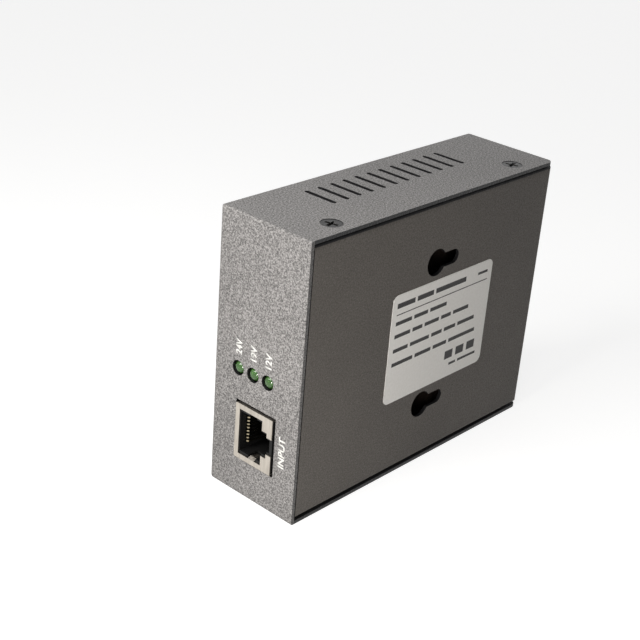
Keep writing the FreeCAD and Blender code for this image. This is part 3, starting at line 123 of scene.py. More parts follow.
def plug(tree, node, inputs):
    """Fill a node's inputs. A value is another node's socket, or a constant."""
    for key, value in inputs.items():
        if isinstance(value, bpy.types.NodeSocket):
            tree.links.new(value, node.inputs[key])
        else:
            node.inputs[key].default_value = value


def add(tree, kind, inputs=None, **settings):
    """Add a node with its settings and its inputs."""
    node = tree.nodes.new(kind)
    for key, value in settings.items():
        setattr(node, key, value)
    plug(tree, node, inputs or {})
    return node


def maths(tree, operation, first, second):
    """A sum on two numbers."""
    return add(tree, "ShaderNodeMath", {0: first, 1: second}, operation=operation).outputs[0]


def vector_maths(tree, operation, *given):
    """A sum on one vector or two, whose result is a vector."""
    return add(tree, "ShaderNodeVectorMath", dict(enumerate(given)), operation=operation).outputs[0]


def dot(tree, first, second):
    """The dot product of two vectors."""
    node = add(tree, "ShaderNodeVectorMath", {0: first, 1: second}, operation="DOT_PRODUCT")
    return node.outputs["Value"]


def remap(tree, value, given, wanted=(0.0, 1.0)):
    """A number carried from one range to another, and kept inside it."""
    return add(tree, "ShaderNodeMapRange", {
        "Value": value,
        "From Min": given[0],
        "From Max": given[1],
        "To Min": wanted[0],
        "To Max": wanted[1],
    }).outputs["Result"]


def ramp_between(tree, factor, low, high, interpolation="LINEAR"):
    """A colour from a ramp with two stops, each a place on it and a colour."""
    node = add(tree, "ShaderNodeValToRGB", {"Fac": factor})
    node.color_ramp.interpolation = interpolation
    for stop, (place, colour) in zip(node.color_ramp.elements, (low, high)):
        stop.position = place
        stop.color = colour
    return node.outputs["Color"]


def mix(tree, factor, first, second):
    """Two colours mixed. A Mix node keeps its colours in sockets 6 and 7, and their mix in 2."""
    return add(tree, "ShaderNodeMix", {0: factor, 6: first, 7: second}, data_type="RGBA").outputs[2]


def length(name, default, description):
    """A length that a user may change, given in millimetres and kept in metres."""
    return FloatProperty(
        name=name,
        description=description,
        default=default * MM,
        min=0.0,
        precision=5,
        subtype="DISTANCE",
        unit="LENGTH",
    )


def shade(name, code, description):
    """A colour that a user may change, given as sRGB hex."""
    return FloatVectorProperty(
        name=name,
        description=description,
        default=linear(code),
        min=0.0,
        max=1.0,
        subtype="COLOR",
    )


class SplitterCoat(PropertyGroup):
    cover_colour: shade("Cover", "#7a7877", "Powder coat on the cover")
    base_colour: shade("Base", "#5b5753", "Powder coat on the base, sprayed darker")
    # Painted shade: the dark colour inside the case, in holes and on cut edges
    painted_shade_colour: shade("Primer", "#1c1c1d", "Primer where the spray hardly reached")
    grain: length("Grain", 0.43, "Width of the sandy grains in the powder coat")
    cover_relief: length("Cover relief", 0.13, "Height of the grains on the cover")
    base_relief: length("Base relief", 0.07, "Height of the grains on the base, under a thicker film")
    cover_speckle: FloatProperty(
        name="Cover speckle",
        description="How far the grains on the cover differ in colour",
        default=0.56,
        min=0.0,
        max=1.0,
    )
    base_speckle: FloatProperty(
        name="Base speckle",
        description="How far the grains on the base differ in colour, under a thicker film",
        default=0.16,
        min=0.0,
        max=1.0,
    )
    cover_sheen: FloatProperty(
        name="Cover sheen",
        description="Specular level of the coat on the cover",
        default=0.3,
        min=0.0,
        max=1.0,
    )
    base_sheen: FloatProperty(
        name="Base sheen",
        description="Specular level of the coat on the base",
        default=0.14,
        min=0.0,
        max=1.0,
    )
    # Painted shade starts this deep behind the outer faces
    painted_shade_depth: length("Painted shade depth", 0.75, "How deep behind the outer faces the coat gives way to the primer")
    # Painted shade on the cut edge of the cover's end wall, as a share of that on the other cut edges
    painted_edge_shade: FloatProperty(
        name="Painted edge shade",
        description="How much primer shows on the cut edge of the cover's end wall, which took more spray",
        default=0.6,
        min=0.0,
        max=1.0,
    )


class SplitterScrews(PropertyGroup):
    recess_reach: length("Recess reach", 1.9, "From the middle of the cross recess to the end of an arm")
    recess_width: length("Recess width", 0.95, "Width of an arm at the head's surface")
    recess_depth: length("Recess depth", 1.3, "Depth of the cross recess")
    edge: length("Edge", 0.06, "Rounding of the head's edges")
    reach: length("Length", 4.9, "From the head's face to the tip")
    seed: IntProperty(name="Seed", description="How far each screw was driven round", default=4)


class SplitterPrint(PropertyGroup):
    letter_height: length("Letter height", 2.3, "Height of the letters and numbers")
    film: length("Film", 0.015, "Thickness of the ink")
    line_width: length("Line width", 0.3, "Width of the lines beside the switch")


class SplitterLabel(PropertyGroup):
    margin: length("Margin", 1.85, "From the label's edge to the print")
    film: length("Ink thickness", 0.01, "Thickness of the print")
    word_gap: length("Word gap", 0.95, "Between two bars in a line")
    seed: IntProperty(name="Seed", description="How each line is split into bars", default=7)


class SplitterLamps(PropertyGroup):
    lens_colour: shade("Lens", "#5f9a46", "Tinted epoxy of the indicator lamps")
    cup_radius: length("Cup radius", 0.75, "Reflector cup inside a lens")
    cup_place: length("Cup place", 2.6, "From the tip of the lens to the rim of the cup")


class SplitterStudio(PropertyGroup):
    floor_colour: shade("Floor", "#b8b8b7", "Floor")
    key_power: FloatProperty(
        name="Key light",
        description="Power of the soft light above and in front",
        default=0.64,
        min=0.0,
        unit="POWER",
    )
    side_power: FloatProperty(
        name="Side light",
        description="Power of the weak light in front on the right, which reaches the labelled side",
        default=0.27,
        min=0.0,
        unit="POWER",
    )
    floor_glow: FloatProperty(
        name="Floor glow",
        description="How strongly the floor shines where it is seen, which keeps it white",
        default=0.8,
        min=0.0,
    )
    fill: FloatProperty(
        name="Fill",
        description="Strength of the light from all round",
        default=0.15,
        min=0.0,
    )


# Materials


def blank(name):
    """A new material with its node tree and its shader."""
    material = bpy.data.materials.new(name)
    material.use_nodes = True
    tree = material.node_tree
    return material, tree, tree.nodes["Principled BSDF"]


def behind_outside(tree, coordinates, low, high):
    """How deep a point lies behind the side of a box that its surface faces.

    It is 0 on the box's sides, small on its rounded edges, and large inside and in holes.
    """
    low, high = Vector(low), Vector(high)
    normal = coordinates["Normal"]
    place = vector_maths(tree, "SUBTRACT", coordinates["Object"], (low + high) / 2)
    size = vector_maths(tree, "ABSOLUTE", normal)
    square = vector_maths(tree, "MULTIPLY", normal, normal)
    signed = vector_maths(tree, "MULTIPLY", normal, size)
    reach = dot(tree, square, (high - low) / 2)
    return maths(tree, "SUBTRACT", reach, dot(tree, signed, place))


def powder_coat(name, film, coat, low, high, cut_faces):
    """Textured powder coat on steel, sprayed and baked: a sandy skin of tiny fused beads.

    The beads catch the light one by one, so the grey looks speckled, and between them it is darker.
    Real grains are about a quarter of a millimetre. They are drawn wider, to show. The insides, the walls
    of holes and the cut edges get a dark colour, which is painted shade.
    Cut faces are those that face the given directions, between the corners low and high of the box.
    The film is its colour, how far the grains differ in colour, their height and their sheen.
    """
    material, tree, shader = blank(name)
    colour, speckle, relief, sheen = film
    coordinates = add(tree, "ShaderNodeTexCoord").outputs
    place = coordinates["Object"]
    grains = add(tree, "ShaderNodeTexNoise", {
        "Vector": place,
        "Scale": 1 / coat.grain,
        "Detail": 2.0,
        "Roughness": 0.65,
    }).outputs["Fac"]
    beads = add(tree, "ShaderNodeTexVoronoi", {"Vector": place, "Scale": 0.8 / coat.grain})
    bump = add(tree, "ShaderNodeBump", {
        "Height": maths(tree, "SUBTRACT", grains, beads.outputs["Distance"]),
        "Distance": relief,
        "Strength": 0.9,
    })
    # Uneven film thickness, over a few centimetres
    drift = add(tree, "ShaderNodeTexNoise", {"Vector": place, "Scale": 1 / (28 * MM), "Detail": 1.0})
    dark, light = rgba(colour, 1 - speckle), rgba(colour, 1 + speckle * 1.6)
    tinted = add(tree, "ShaderNodeHueSaturation", {
        "Value": remap(tree, drift.outputs["Fac"], (0.3, 0.7), (0.93, 1.06)),
        "Color": ramp_between(tree, grains, (0.36, dark), (0.68, light)),
    })
    # Painted shade: a dark colour on all that lies deeper than the outer faces, inside the case and in holes
    depth = behind_outside(tree, coordinates, low, high)
    painted_shade_mask = remap(tree, depth, (coat.painted_shade_depth * 0.8, coat.painted_shade_depth))
    for direction in cut_faces:
        # Painted shade on the cut edges: a share of it on the edge of the end wall, at the low end, and all
        # of it on those beyond
        along = add(tree, "ShaderNodeSeparateXYZ", {"Vector": place}).outputs["Y"]
        end_wall_shade = remap(tree, along, (low[1] + SHEET, low[1] + SHEET * 1.2), (coat.painted_edge_shade, 1.0))
        faced = dot(tree, coordinates["Normal"], direction)
        painted_shade_mask = maths(tree, "MAXIMUM", painted_shade_mask, remap(tree, faced, (0.6, 0.8), (0.0, end_wall_shade)))
    plug(tree, shader, {
        # The painted shade colour covers the coat where the mask says
        "Base Color": mix(tree, painted_shade_mask, tinted.outputs["Color"], rgba(coat.painted_shade_colour)),
        "Roughness": remap(tree, grains, (0.3, 0.7), (0.6, 0.34)),
        "Normal": bump.outputs["Normal"],
        "IOR": 1.5,
        "Specular IOR Level": sheen,
    })
    return material


def finish(name, colour, accent, grain, relief, roughness, stretch=(1, 1, 1), **sockets):
    """A material whose colour and gloss wander between two values, over marks of a real size in mm."""
    material, tree, shader = blank(name)
    place = add(tree, "ShaderNodeTexCoord").outputs["Object"]
    mapped = add(tree, "ShaderNodeMapping", {"Vector": place, "Scale": stretch})
    marks = add(tree, "ShaderNodeTexNoise", {
        "Vector": mapped.outputs["Vector"],
        "Scale": 1 / (grain * MM),
        "Detail": 4.0,
        "Roughness": 0.6,
    }).outputs["Fac"]
    bump = add(tree, "ShaderNodeBump", {"Height": marks, "Distance": relief * MM, "Strength": 1.0})
    plug(tree, shader, {
        "Base Color": ramp_between(tree, marks, (0.35, rgba(linear(colour))), (0.7, rgba(linear(accent)))),
        "Roughness": remap(tree, marks, (0.3, 0.7), roughness),
        "Normal": bump.outputs["Normal"],
        **{socket.replace("_", " "): value for socket, value in sockets.items()},
    })
    return material


def steel_blacked():
    """Phosphated steel: a dull black crust, rubbed to grey where the driver slipped."""
    return finish("phosphated_steel", "#0d0d0d", "#2b2a29", 0.5, 0.02, (0.2, 0.42), Metallic=0.6,
                  Specular_IOR_Level=0.3)


def tinplate():
    """Tin-plated steel, rolled: a warm silver with faint lines along the sheet."""
    return finish("tinplate", "#aba49a", "#c2bbb1", 0.9, 0.008, (0.3, 0.46), (1, 1, 0.15), Metallic=1.0)


def black_nylon():
    """Glass-filled nylon, moulded: deep black with a fine matt texture from the tool."""
    return finish("moulded_nylon", "#0a0a0a", "#141414", 0.16, 0.008, (0.45, 0.62), IOR=1.53,
                  Specular_IOR_Level=0.2)


def zinc_plate():
    """Zinc-plated steel: a cool bright grey, clouded by the passivating bath."""
    return finish("zinc_plate", "#b7bcc0", "#d4d6d4", 1.6, 0.004, (0.28, 0.45), Metallic=1.0)


def gold_plate():
    """Gold over nickel on phosphor bronze: a thin pale flash, smooth enough to glint."""
    return finish("gold_plate", "#8a8069", "#a89e86", 0.5, 0.003, (0.1, 0.22), Metallic=1.0)


def nickel_plate():
    """Nickel-plated brass: a warm silver with faint drawing lines."""
    return finish("nickel_plate", "#b9b4a8", "#d9d5ca", 0.4, 0.003, (0.2, 0.36), Metallic=1.0)


def tinned_wire():
    """Solder-dipped copper wire: soft silver with slumped, slightly dull patches."""
    return finish("tinned_wire", "#b4b6b8", "#d6d8d9", 0.7, 0.01, (0.28, 0.5), Metallic=1.0)


def tinted_epoxy(colour):
    """Tinted epoxy, cast in a polished mould: clear green that darkens with depth."""
    material, tree, shader = blank("tinted_epoxy")
    place = add(tree, "ShaderNodeTexCoord").outputs["Object"]
    # Faint swirls where the resin was poured
    swirls = add(tree, "ShaderNodeTexNoise", {
        "Vector": place,
        "Scale": 1 / (1.4 * MM),
        "Distortion": 1.2,
    }).outputs["Fac"]
    bump = add(tree, "ShaderNodeBump", {"Height": swirls, "Distance": 0.01 * MM, "Strength": 0.5})
    plug(tree, shader, {
        "Base Color": ramp_between(tree, swirls, (0.0, rgba(colour, 0.8)), (1.0, rgba(colour, 1.15))),
        "Roughness": remap(tree, swirls, (0.0, 1.0), (0.05, 0.12)),
        "Normal": bump.outputs["Normal"],
        "IOR": 1.54,
        "Transmission Weight": 0.7,
    })
    return material


def sleeved_can():
    """Capacitor: a shrunk PVC sleeve round the can, and uncovered aluminium on its top."""
    material, tree, shader = blank("sleeved_can")
    coordinates = add(tree, "ShaderNodeTexCoord").outputs
    normal = add(tree, "ShaderNodeSeparateXYZ", {"Vector": coordinates["Normal"]})
    # The cans stand towards the cover's top plate, so their tops face the other way from +X
    on_top = maths(tree, "LESS_THAN", normal.outputs["X"], -0.9)
    marks = add(tree, "ShaderNodeTexNoise", {
        "Vector": coordinates["Object"],
        "Scale": 1 / (1.2 * MM),
        "Detail": 3.0,
    }).outputs["Fac"]
    uneven = add(tree, "ShaderNodeHueSaturation", {
        "Value": remap(tree, marks, (0.0, 1.0), (0.85, 1.15)),
        "Color": mix(tree, on_top, rgba(linear("#20242e")), rgba(linear("#c4c6c8"))),
    })
    bump = add(tree, "ShaderNodeBump", {"Height": marks, "Distance": 0.02 * MM})
    plug(tree, shader, {
        "Base Color": uneven.outputs["Color"],
        "Metallic": on_top,
        "Normal": bump.outputs["Normal"],
        "Roughness": 0.34,
    })
    return material


def laminate():
    """Glass-epoxy board under black solder mask: satin and brownish, with the weave just showing."""
    material, tree, shader = blank("solder_mask_on_laminate")
    place = add(tree, "ShaderNodeTexCoord").outputs["Object"]
    # Glass cloth of about 0.6 mm, one wave for each direction of its threads
    warp = add(tree, "ShaderNodeTexWave", {"Vector": place, "Scale": 0.31 / (0.6 * MM)}, bands_direction="Y")
    weft = add(tree, "ShaderNodeTexWave", {"Vector": place, "Scale": 0.31 / (0.6 * MM)}, bands_direction="Z")
    weave = maths(tree, "MULTIPLY", warp.outputs["Fac"], weft.outputs["Fac"])
    # Copper areas under the mask, which look a little lighter
    copper = add(tree, "ShaderNodeTexVoronoi", {"Vector": place, "Scale": 1 / (7 * MM)}, distance="MANHATTAN")
    over_copper, between = rgba(linear("#453b36")), rgba(linear("#332b27"))
    stops = ((0.0, over_copper), (0.5, between))
    bump = add(tree, "ShaderNodeBump", {"Height": weave, "Distance": 0.01 * MM})
    plug(tree, shader, {
        "Base Color": ramp_between(tree, copper.outputs["Distance"], *stops, interpolation="CONSTANT"),
        "Normal": bump.outputs["Normal"],
        "Roughness": 0.32,
    })
    return material


def dress(material, *names):
    """Give a finish to CAD nodes."""
    for name in names:
        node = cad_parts[name]
        if not node.material_slots:
            node.data.materials.append(material)
        for place in node.material_slots:
            place.material = material


# Geometry


def lathe(profile, steps):
    """A closed shape turned about the Z axis from (radius, height) points that start and end on it."""
    shape = bmesh.new()
    points = [shape.verts.new((radius, 0, height)) for radius, height in profile]
    edges = [shape.edges.new(pair) for pair in zip(points, points[1:])]
    bmesh.ops.spin(shape, geom=points + edges, cent=(0, 0, 0), axis=UP, angle=math.tau, steps=steps)
    bmesh.ops.remove_doubles(shape, verts=shape.verts, dist=1e-7)
    bmesh.ops.recalc_face_normals(shape, faces=shape.faces)
    mesh = bpy.data.meshes.new("turned")
    shape.to_mesh(mesh)
    shape.free()
    return mesh


def put_in_scene(name, data):
    """An object of its own in the scene, at the origin."""
    thing = bpy.data.objects.new(name, data)
    bpy.context.scene.collection.objects.link(thing)
    return thing


def settled(thing):
    """The plain mesh that an object's modifiers make of it, and the object's end."""
    graph = bpy.context.evaluated_depsgraph_get()
    mesh = bpy.data.meshes.new_from_object(thing.evaluated_get(graph))
    bpy.data.objects.remove(thing)
    return mesh


def add_piece(name, mesh, material, body=CASE):
    """A finished piece that moves with a body."""
    mesh.name = name
    mesh.materials.clear()
    mesh.materials.append(material)
    piece = put_in_scene(name, mesh)
    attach(piece, body)
    return piece


def open_group(name, sockets):
    """A geometry node group with named inputs, each a kind and perhaps a default, and what they give."""
    tree = bpy.data.node_groups.new(name, "GeometryNodeTree")
    tree.interface.new_socket("Geometry", in_out="OUTPUT", socket_type="NodeSocketGeometry")
    names = {}
    for label, (kind, *default) in sockets.items():
        socket = tree.interface.new_socket(label, in_out="INPUT", socket_type=kind)
        if default:
            socket.default_value = default[0]
        names[label] = socket.identifier
    return tree, names, add(tree, "NodeGroupInput").outputs


def close_group(tree, instances, material):
    """Make a group's copies real, coat them and hand them out."""
    whole = add(tree, "GeometryNodeRealizeInstances", {"Geometry": instances})
    coated = add(tree, "GeometryNodeSetMaterial", {
        "Geometry": whole.outputs["Geometry"],
        "Material": material,
    })
    add(tree, "NodeGroupOutput", {"Geometry": coated.outputs["Geometry"]})


def copies_tree():
    """A node group that puts a copy of a piece on every point.

    Copies below the given level stand on their heads, and each is turned about its own axis by chance.
    """
    tree, names, given = open_group("copies_on_points", {
        "Points": ("NodeSocketGeometry",),
        "Piece": ("NodeSocketObject",),
        "Flip Below": ("NodeSocketFloat", -1.0),
        "Twist": ("NodeSocketFloat", 0.0),
        "Seed": ("NodeSocketInt", 0),
        "Material": ("NodeSocketMaterial",),
    })
    piece = add(tree, "GeometryNodeObjectInfo", {"Object": given["Piece"]})
    place = add(tree, "GeometryNodeInputPosition")
    level = add(tree, "ShaderNodeSeparateXYZ", {"Vector": place.outputs["Position"]})
    below = maths(tree, "LESS_THAN", level.outputs["Z"], given["Flip Below"])
    facing = add(tree, "ShaderNodeCombineXYZ", {"X": maths(tree, "MULTIPLY", below, math.pi)})
    copies = add(tree, "GeometryNodeInstanceOnPoints", {
        "Points": given["Points"],
        "Instance": piece.outputs["Geometry"],
        "Rotation": add(tree, "FunctionNodeEulerToRotation", {0: facing.outputs[0]}).outputs[0],
    })
    # The float sockets of Min, Max and Value are the second of each name: 2, 3 and 1
    chance = add(tree, "FunctionNodeRandomValue", {2: 0.0, 3: given["Twist"], "Seed": given["Seed"]},
                 data_type="FLOAT")
    spin = add(tree, "ShaderNodeCombineXYZ", {"Z": chance.outputs[1]})
    turned = add(tree, "GeometryNodeRotateInstances", {
        "Instances": copies.outputs["Instances"],
        "Rotation": add(tree, "FunctionNodeEulerToRotation", {0: spin.outputs[0]}).outputs[0],
        "Local Space": True,
    })
    close_group(tree, turned.outputs["Instances"], given["Material"])
    return tree, names


def bars_tree():
    """A node group that prints a bar on every point, as long and as high as the point's attributes say."""
    tree, names, given = open_group("printed_bars", {
        "Points": ("NodeSocketGeometry",),
        "Thickness": ("NodeSocketFloat", 0.01 * MM),
        "Material": ("NodeSocketMaterial",),
    })
    bar = add(tree, "GeometryNodeMeshCube", {"Size": (1, 1, 1)})
    long = add(tree, "GeometryNodeInputNamedAttribute", {"Name": "bar_length"}, data_type="FLOAT")
    high = add(tree, "GeometryNodeInputNamedAttribute", {"Name": "bar_height"}, data_type="FLOAT")
    size = add(tree, "ShaderNodeCombineXYZ", {
        "X": given["Thickness"],
        "Y": long.outputs["Attribute"],
        "Z": high.outputs["Attribute"],
    })
    bars = add(tree, "GeometryNodeInstanceOnPoints", {
        "Points": given["Points"],
        "Instance": bar.outputs["Mesh"],
        "Scale": size.outputs[0],
    })
    close_group(tree, bars.outputs["Instances"], given["Material"])
    return tree, names


def grown(points, tree, names, values):
    """The mesh that a node group makes on the given points."""
    carrier = put_in_scene("points", points)
    modifier = carrier.modifiers.new("nodes", "NODES")
    modifier.node_group = tree
    for name, value in values.items():
        modifier[names[name]] = value
    return settled(carrier)


def points_mesh(places):
    """A mesh of single points."""
    mesh = bpy.data.meshes.new("points")
    mesh.from_pydata(places, [], [])
    return mesh


def cross_cutter(reach, width, depth):
    """The space of a tapered cross recess, down from the head's surface at 0."""
    arm = width / 2
    outline = []
    for quarter in range(4):
        turn = Matrix.Rotation(quarter * math.pi / 2, 3, "Z")
        outline += [turn @ Vector(corner) for corner in ((reach, -arm, 0), (reach, arm, 0), (arm, arm, 0))]
    taper = 0.42  # the size of the cross at its bottom, as a share of that at the head
    rise = depth * 0.1  # the cutter starts above the head, for a clean cut
    top = [point * (1 + (1 - taper) * rise / depth) + UP * rise for point in outline]
    bottom = [point * taper - UP * depth for point in outline]
    count = len(outline)
    sides = [(i, (i + 1) % count, count + (i + 1) % count, count + i) for i in range(count)]
    mesh = bpy.data.meshes.new("cross")
    mesh.from_pydata(top + bottom, [], sides + [tuple(range(count)), tuple(range(count, 2 * count))])
    shape = bmesh.new()
    shape.from_mesh(mesh)
    bmesh.ops.triangulate(shape, faces=shape.faces)
    bmesh.ops.recalc_face_normals(shape, faces=shape.faces)
    shape.to_mesh(mesh)
    shape.free()
    return mesh


def screw_template(head, sizes):
    """A countersunk screw that hangs below 0, with a cross recess and eased edges."""
    shank, rim, reach = head / 2, head * 0.07, sizes.reach
    chamfer = shank * 0.3
    profile = [
        (0, 0),
        (head, 0),
        (head, -rim),
        (shank, -rim - (head - shank)),
        (shank, -reach + chamfer),
        (shank - chamfer, -reach),
        (0, -reach),
    ]
    screw = put_in_scene("screw_template", lathe(profile, 64))
    cross = put_in_scene("cross", cross_cutter(sizes.recess_reach, sizes.recess_width, sizes.recess_depth))
    cut = screw.modifiers.new("cut", "BOOLEAN")
    cut.object = cross
    cut.solver = "EXACT"
    ease = screw.modifiers.new("ease", "BEVEL")
    ease.width = sizes.edge
    ease.segments = 2
    ease.limit_method = "ANGLE"
    mesh = settled(screw)
    bpy.data.objects.remove(cross)
    mesh.polygons.foreach_set("use_smooth", [False] * len(mesh.polygons))
    return mesh


def ink_text(sheet, words, span, sizes, place, along):
    """Add words to a sheet of print, fitted to a span along their line. Their tops face the top plate."""
    up = -ACROSS
    outward = along.cross(up)
    curve = bpy.data.curves.new("words", "FONT")
    curve.body = words
    curve.offset = 0.03
    curve.resolution_u = 6
    mesh = settled(put_in_scene("words", curve))
    low = Vector([min(vertex.co[i] for vertex in mesh.vertices) for i in range(3)])
    high = Vector([max(vertex.co[i] for vertex in mesh.vertices) for i in range(3)])
    fit = Matrix.Diagonal((span / (high.x - low.x), sizes.letter_height / (high.y - low.y), 1, 1))
    middle = Matrix.Translation(-(low + high) / 2)
    turn = Matrix((along, up, outward)).transposed().to_4x4()
    mesh.transform(Matrix.Translation(place) @ turn @ fit @ middle)
    shape = bmesh.new()
    shape.from_mesh(mesh)
    bmesh.ops.remove_doubles(shape, verts=shape.verts, dist=1e-7)
    raised = bmesh.ops.extrude_face_region(shape, geom=shape.faces[:])
    moved = [part for part in raised["geom"] if isinstance(part, bmesh.types.BMVert)]
    bmesh.ops.translate(shape, verts=moved, vec=outward * sizes.film)
    bmesh.ops.recalc_face_normals(shape, faces=shape.faces)
    shape.to_mesh(mesh)
    shape.free()
    sheet.from_mesh(mesh)
    bpy.data.meshes.remove(mesh)


def ink_line(sheet, corners, width, film, outward):
    """Add a line of ink through the given corners to a sheet of print."""
    for start, end in zip(corners, corners[1:]):
        run = (end - start).normalized()
        side = run.cross(outward) * width / 2
        first, last = start - run * width / 2, end + run * width / 2
        low = [first - side, first + side, last + side, last - side]
        points = [sheet.verts.new(point) for point in low + [point + outward * film for point in low]]
        for face in ((3, 2, 1, 0), (4, 5, 6, 7), (0, 1, 5, 4), (1, 2, 6, 5), (2, 3, 7, 6), (3, 0, 4, 7)):
            sheet.faces.new([points[i] for i in face])


def print_piece(name, sheet, material):
    """Turn a sheet of print into a piece on the case."""
    bmesh.ops.recalc_face_normals(sheet, faces=sheet.faces)
    mesh = bpy.data.meshes.new(name)
    sheet.to_mesh(mesh)
    sheet.free()
    return add_piece(name, mesh, material)


# Operators


class SPLITTER_OT_camera(Operator):
    """Put the camera where the photograph was taken from"""

    bl_idname = "splitter.camera"
    bl_label = "Add camera"

    def execute(self, context):
        data = bpy.data.cameras.new("camera")
        data.sensor_width = 36.0
        data.lens = 73.776
        data.clip_start = 0.01
        camera = put_in_scene("camera", data)
        camera.location = (0.20691, -0.26109, 0.19670)
        camera.rotation_euler = [math.radians(angle) for angle in (64.274, -4.102, 43.456)]
        context.scene.camera = camera
        return {"FINISHED"}


class SPLITTER_OT_case(Operator):
    """Coat both shells of the case"""

    bl_idname = "splitter.case"
    bl_label = "Coat the case"

    def execute(self, context):
        coat = context.scene.splitter_coat
        low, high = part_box("cover")
        # The cover is open towards the bottom plate and the data end, where its sheet shows its edges, which
        # get painted shade
        film = (coat.cover_colour, coat.cover_speckle, coat.cover_relief, coat.cover_sheen)
        dress(powder_coat("powder_coat_cover", film, coat, low, high, (ACROSS, ALONG)), "cover")
        film = (coat.base_colour, coat.base_speckle, coat.base_relief, coat.base_sheen)
        dress(powder_coat("powder_coat_base", film, coat, low, high, ()), "base")
        return {"FINISHED"}


class SPLITTER_OT_screws(Operator):
    """Drive the countersunk screws that hold the cover"""

    bl_idname = "splitter.screws"
    bl_label = "Add cover screws"

    def execute(self, context):
        sizes = context.scene.splitter_screws
        low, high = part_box("cover_screws")
        head = (high[0] - low[0]) / 2
        template = put_in_scene("screw", screw_template(head, sizes))
        middle = (low[0] + high[0]) / 2
        places = [
            (middle, along, level)
            for along in (low[1] + head, high[1] - head)
            for level in (low[2], high[2])
        ]
        steel = steel_blacked()
        tree, names = copies_tree()
        mesh = grown(points_mesh(places), tree, names, {
            "Piece": template,
            "Flip Below": (low[2] + high[2]) / 2,
            "Twist": math.pi / 2,
            "Seed": sizes.seed,
            "Material": steel,
        })
        bpy.data.objects.remove(template)
        piece = add_piece("countersunk_screws", mesh, steel)
        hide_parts("cover_screws")
        return {"FINISHED"}


class SPLITTER_OT_jacks(Operator):
    """Finish both network jacks"""

    bl_idname = "splitter.jacks"
    bl_label = "Finish network jacks"

    def execute(self, context):
        dress(tinplate(), "power_jack_shield", "data_jack_shield")
        dress(gold_plate(), "power_jack_contacts", "data_jack_contacts")
        return {"FINISHED"}


class SPLITTER_OT_mouldings(Operator):
    """Finish the black mouldings and the metal of the outlet and the switch"""

    bl_idname = "splitter.mouldings"
    bl_label = "Finish mouldings"

    def execute(self, context):
        dress(black_nylon(), "power_jack_insert", "data_jack_insert", "outlet_body", "switch_base",
              "switch_knob", "lamp_holder")
        dress(nickel_plate(), "outlet_pin", "outlet_leaf", "switch_wiper", "switch_terminals")
        dress(zinc_plate(), "switch_frame", "board_posts", "board_screws", "transistor_screws")
        return {"FINISHED"}


class SPLITTER_OT_lamps(Operator):
    """Tint the three lamps, and put a reflector cup inside each"""

    bl_idname = "splitter.lamps"
    bl_label = "Finish lamps"

    def execute(self, context):
        sizes = context.scene.splitter_lamps
        lamps = [name for name, words in LAMP_MARKS]
        dress(tinted_epoxy(sizes.lens_colour), *lamps)
        radius, rim = sizes.cup_radius, sizes.cup_place
        post = radius * 0.6
        # A dish with a thin rim, on a post that runs back to the leads
        profile = [
            (0, -rim - radius * 0.6),
            (radius * 0.45, -rim - radius * 0.6),
            (radius * 0.85, -rim),
            (radius, -rim),
            (radius, -rim - radius * 1.6),
            (post, -rim - radius * 2),
            (post, -rim - radius * 4),
            (0, -rim - radius * 4),
        ]
        cup = lathe(profile, 32)
        cup.transform(Matrix.Rotation(math.pi / 2, 4, "X"))
        template = put_in_scene("cup", cup)
        places = []
        for name in lamps:
            low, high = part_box(name)
            places.append(((low[0] + high[0]) / 2, low[1], (low[2] + high[2]) / 2))
        metal = nickel_plate()
        tree, names = copies_tree()
        mesh = grown(points_mesh(places), tree, names, {"Piece": template, "Material": metal})
        bpy.data.objects.remove(template)
        piece = add_piece("reflector_cups", mesh, metal)
        dress(tinned_wire(), "lamp_leads")
        return {"FINISHED"}


class SPLITTER_OT_inside(Operator):
    """Finish the circuit board and everything on it"""

    bl_idname = "splitter.inside"
    bl_label = "Finish board parts"

    def execute(self, context):
        dress(laminate(), "circuit_board")
        # Moulding compound: charcoal, sandy from its silica filler, with a soft sheen
        compound = finish("moulded_epoxy", "#1c1c1e", "#2e2e30", 0.22, 0.01, (0.4, 0.6), IOR=1.55)
        dress(compound, "controller_chip", "interface_chip", "data_transformer", "bridge_rectifiers",
              "optocoupler", "power_transistors")
        dress(sleeved_can(), "input_capacitors", "output_capacitors")
        # Sintered ferrite: dark grey ceramic, ground smooth where the halves meet
        ferrite = finish("sintered_ferrite", "#2a2a2c", "#434345", 0.5, 0.015, (0.45, 0.65), IOR=1.8)
        dress(ferrite, "transformer_core", "input_choke")
        # Iron powder under a yellow epoxy coat: glossy and slightly lumpy
        powder = finish("coated_iron_powder", "#b79b35", "#cfb655", 1.5, 0.05, (0.3, 0.45), IOR=1.5)
        dress(powder, "inductor_ring")
        # Enamelled copper: orange metal under a thin clear lacquer
        enamel = finish("enamelled_copper", "#a8552a", "#c8743f", 0.6, 0.005, (0.22, 0.34), Metallic=1.0)
        dress(enamel, "inductor_coil")
        # Polyester tape: yellow film, drawn tight in lengthwise creases
        tape = finish("polyester_tape", "#c9a227", "#dcb945", 0.9, 0.03, (0.25, 0.42), (1, 0.2, 1), IOR=1.57)
        dress(tape, "transformer_winding")
        # Phenolic moulding: brownish black, duller than nylon
        phenolic = finish("phenolic", "#1d1916", "#2c2622", 0.3, 0.012, (0.45, 0.62), IOR=1.6)
        dress(phenolic, "transformer_bobbin")
        dress(tinned_wire(), "transformer_pins")
        # Extruded aluminium: pale grey metal with die lines along its length
        extrusion = finish("extruded_aluminium", "#a9abad", "#c9cbcc", 0.5, 0.01, (0.32, 0.5), (0.05, 1, 1),
                           Metallic=1.0)
        dress(extrusion, "heat_sink")
        # Fired ceramic of the chip capacitors: tan and matt
        ceramic = finish("fired_ceramic", "#8d7557", "#a58c6c", 0.4, 0.01, (0.5, 0.65), IOR=1.6)
        dress(ceramic, "small_parts")
        return {"FINISHED"}


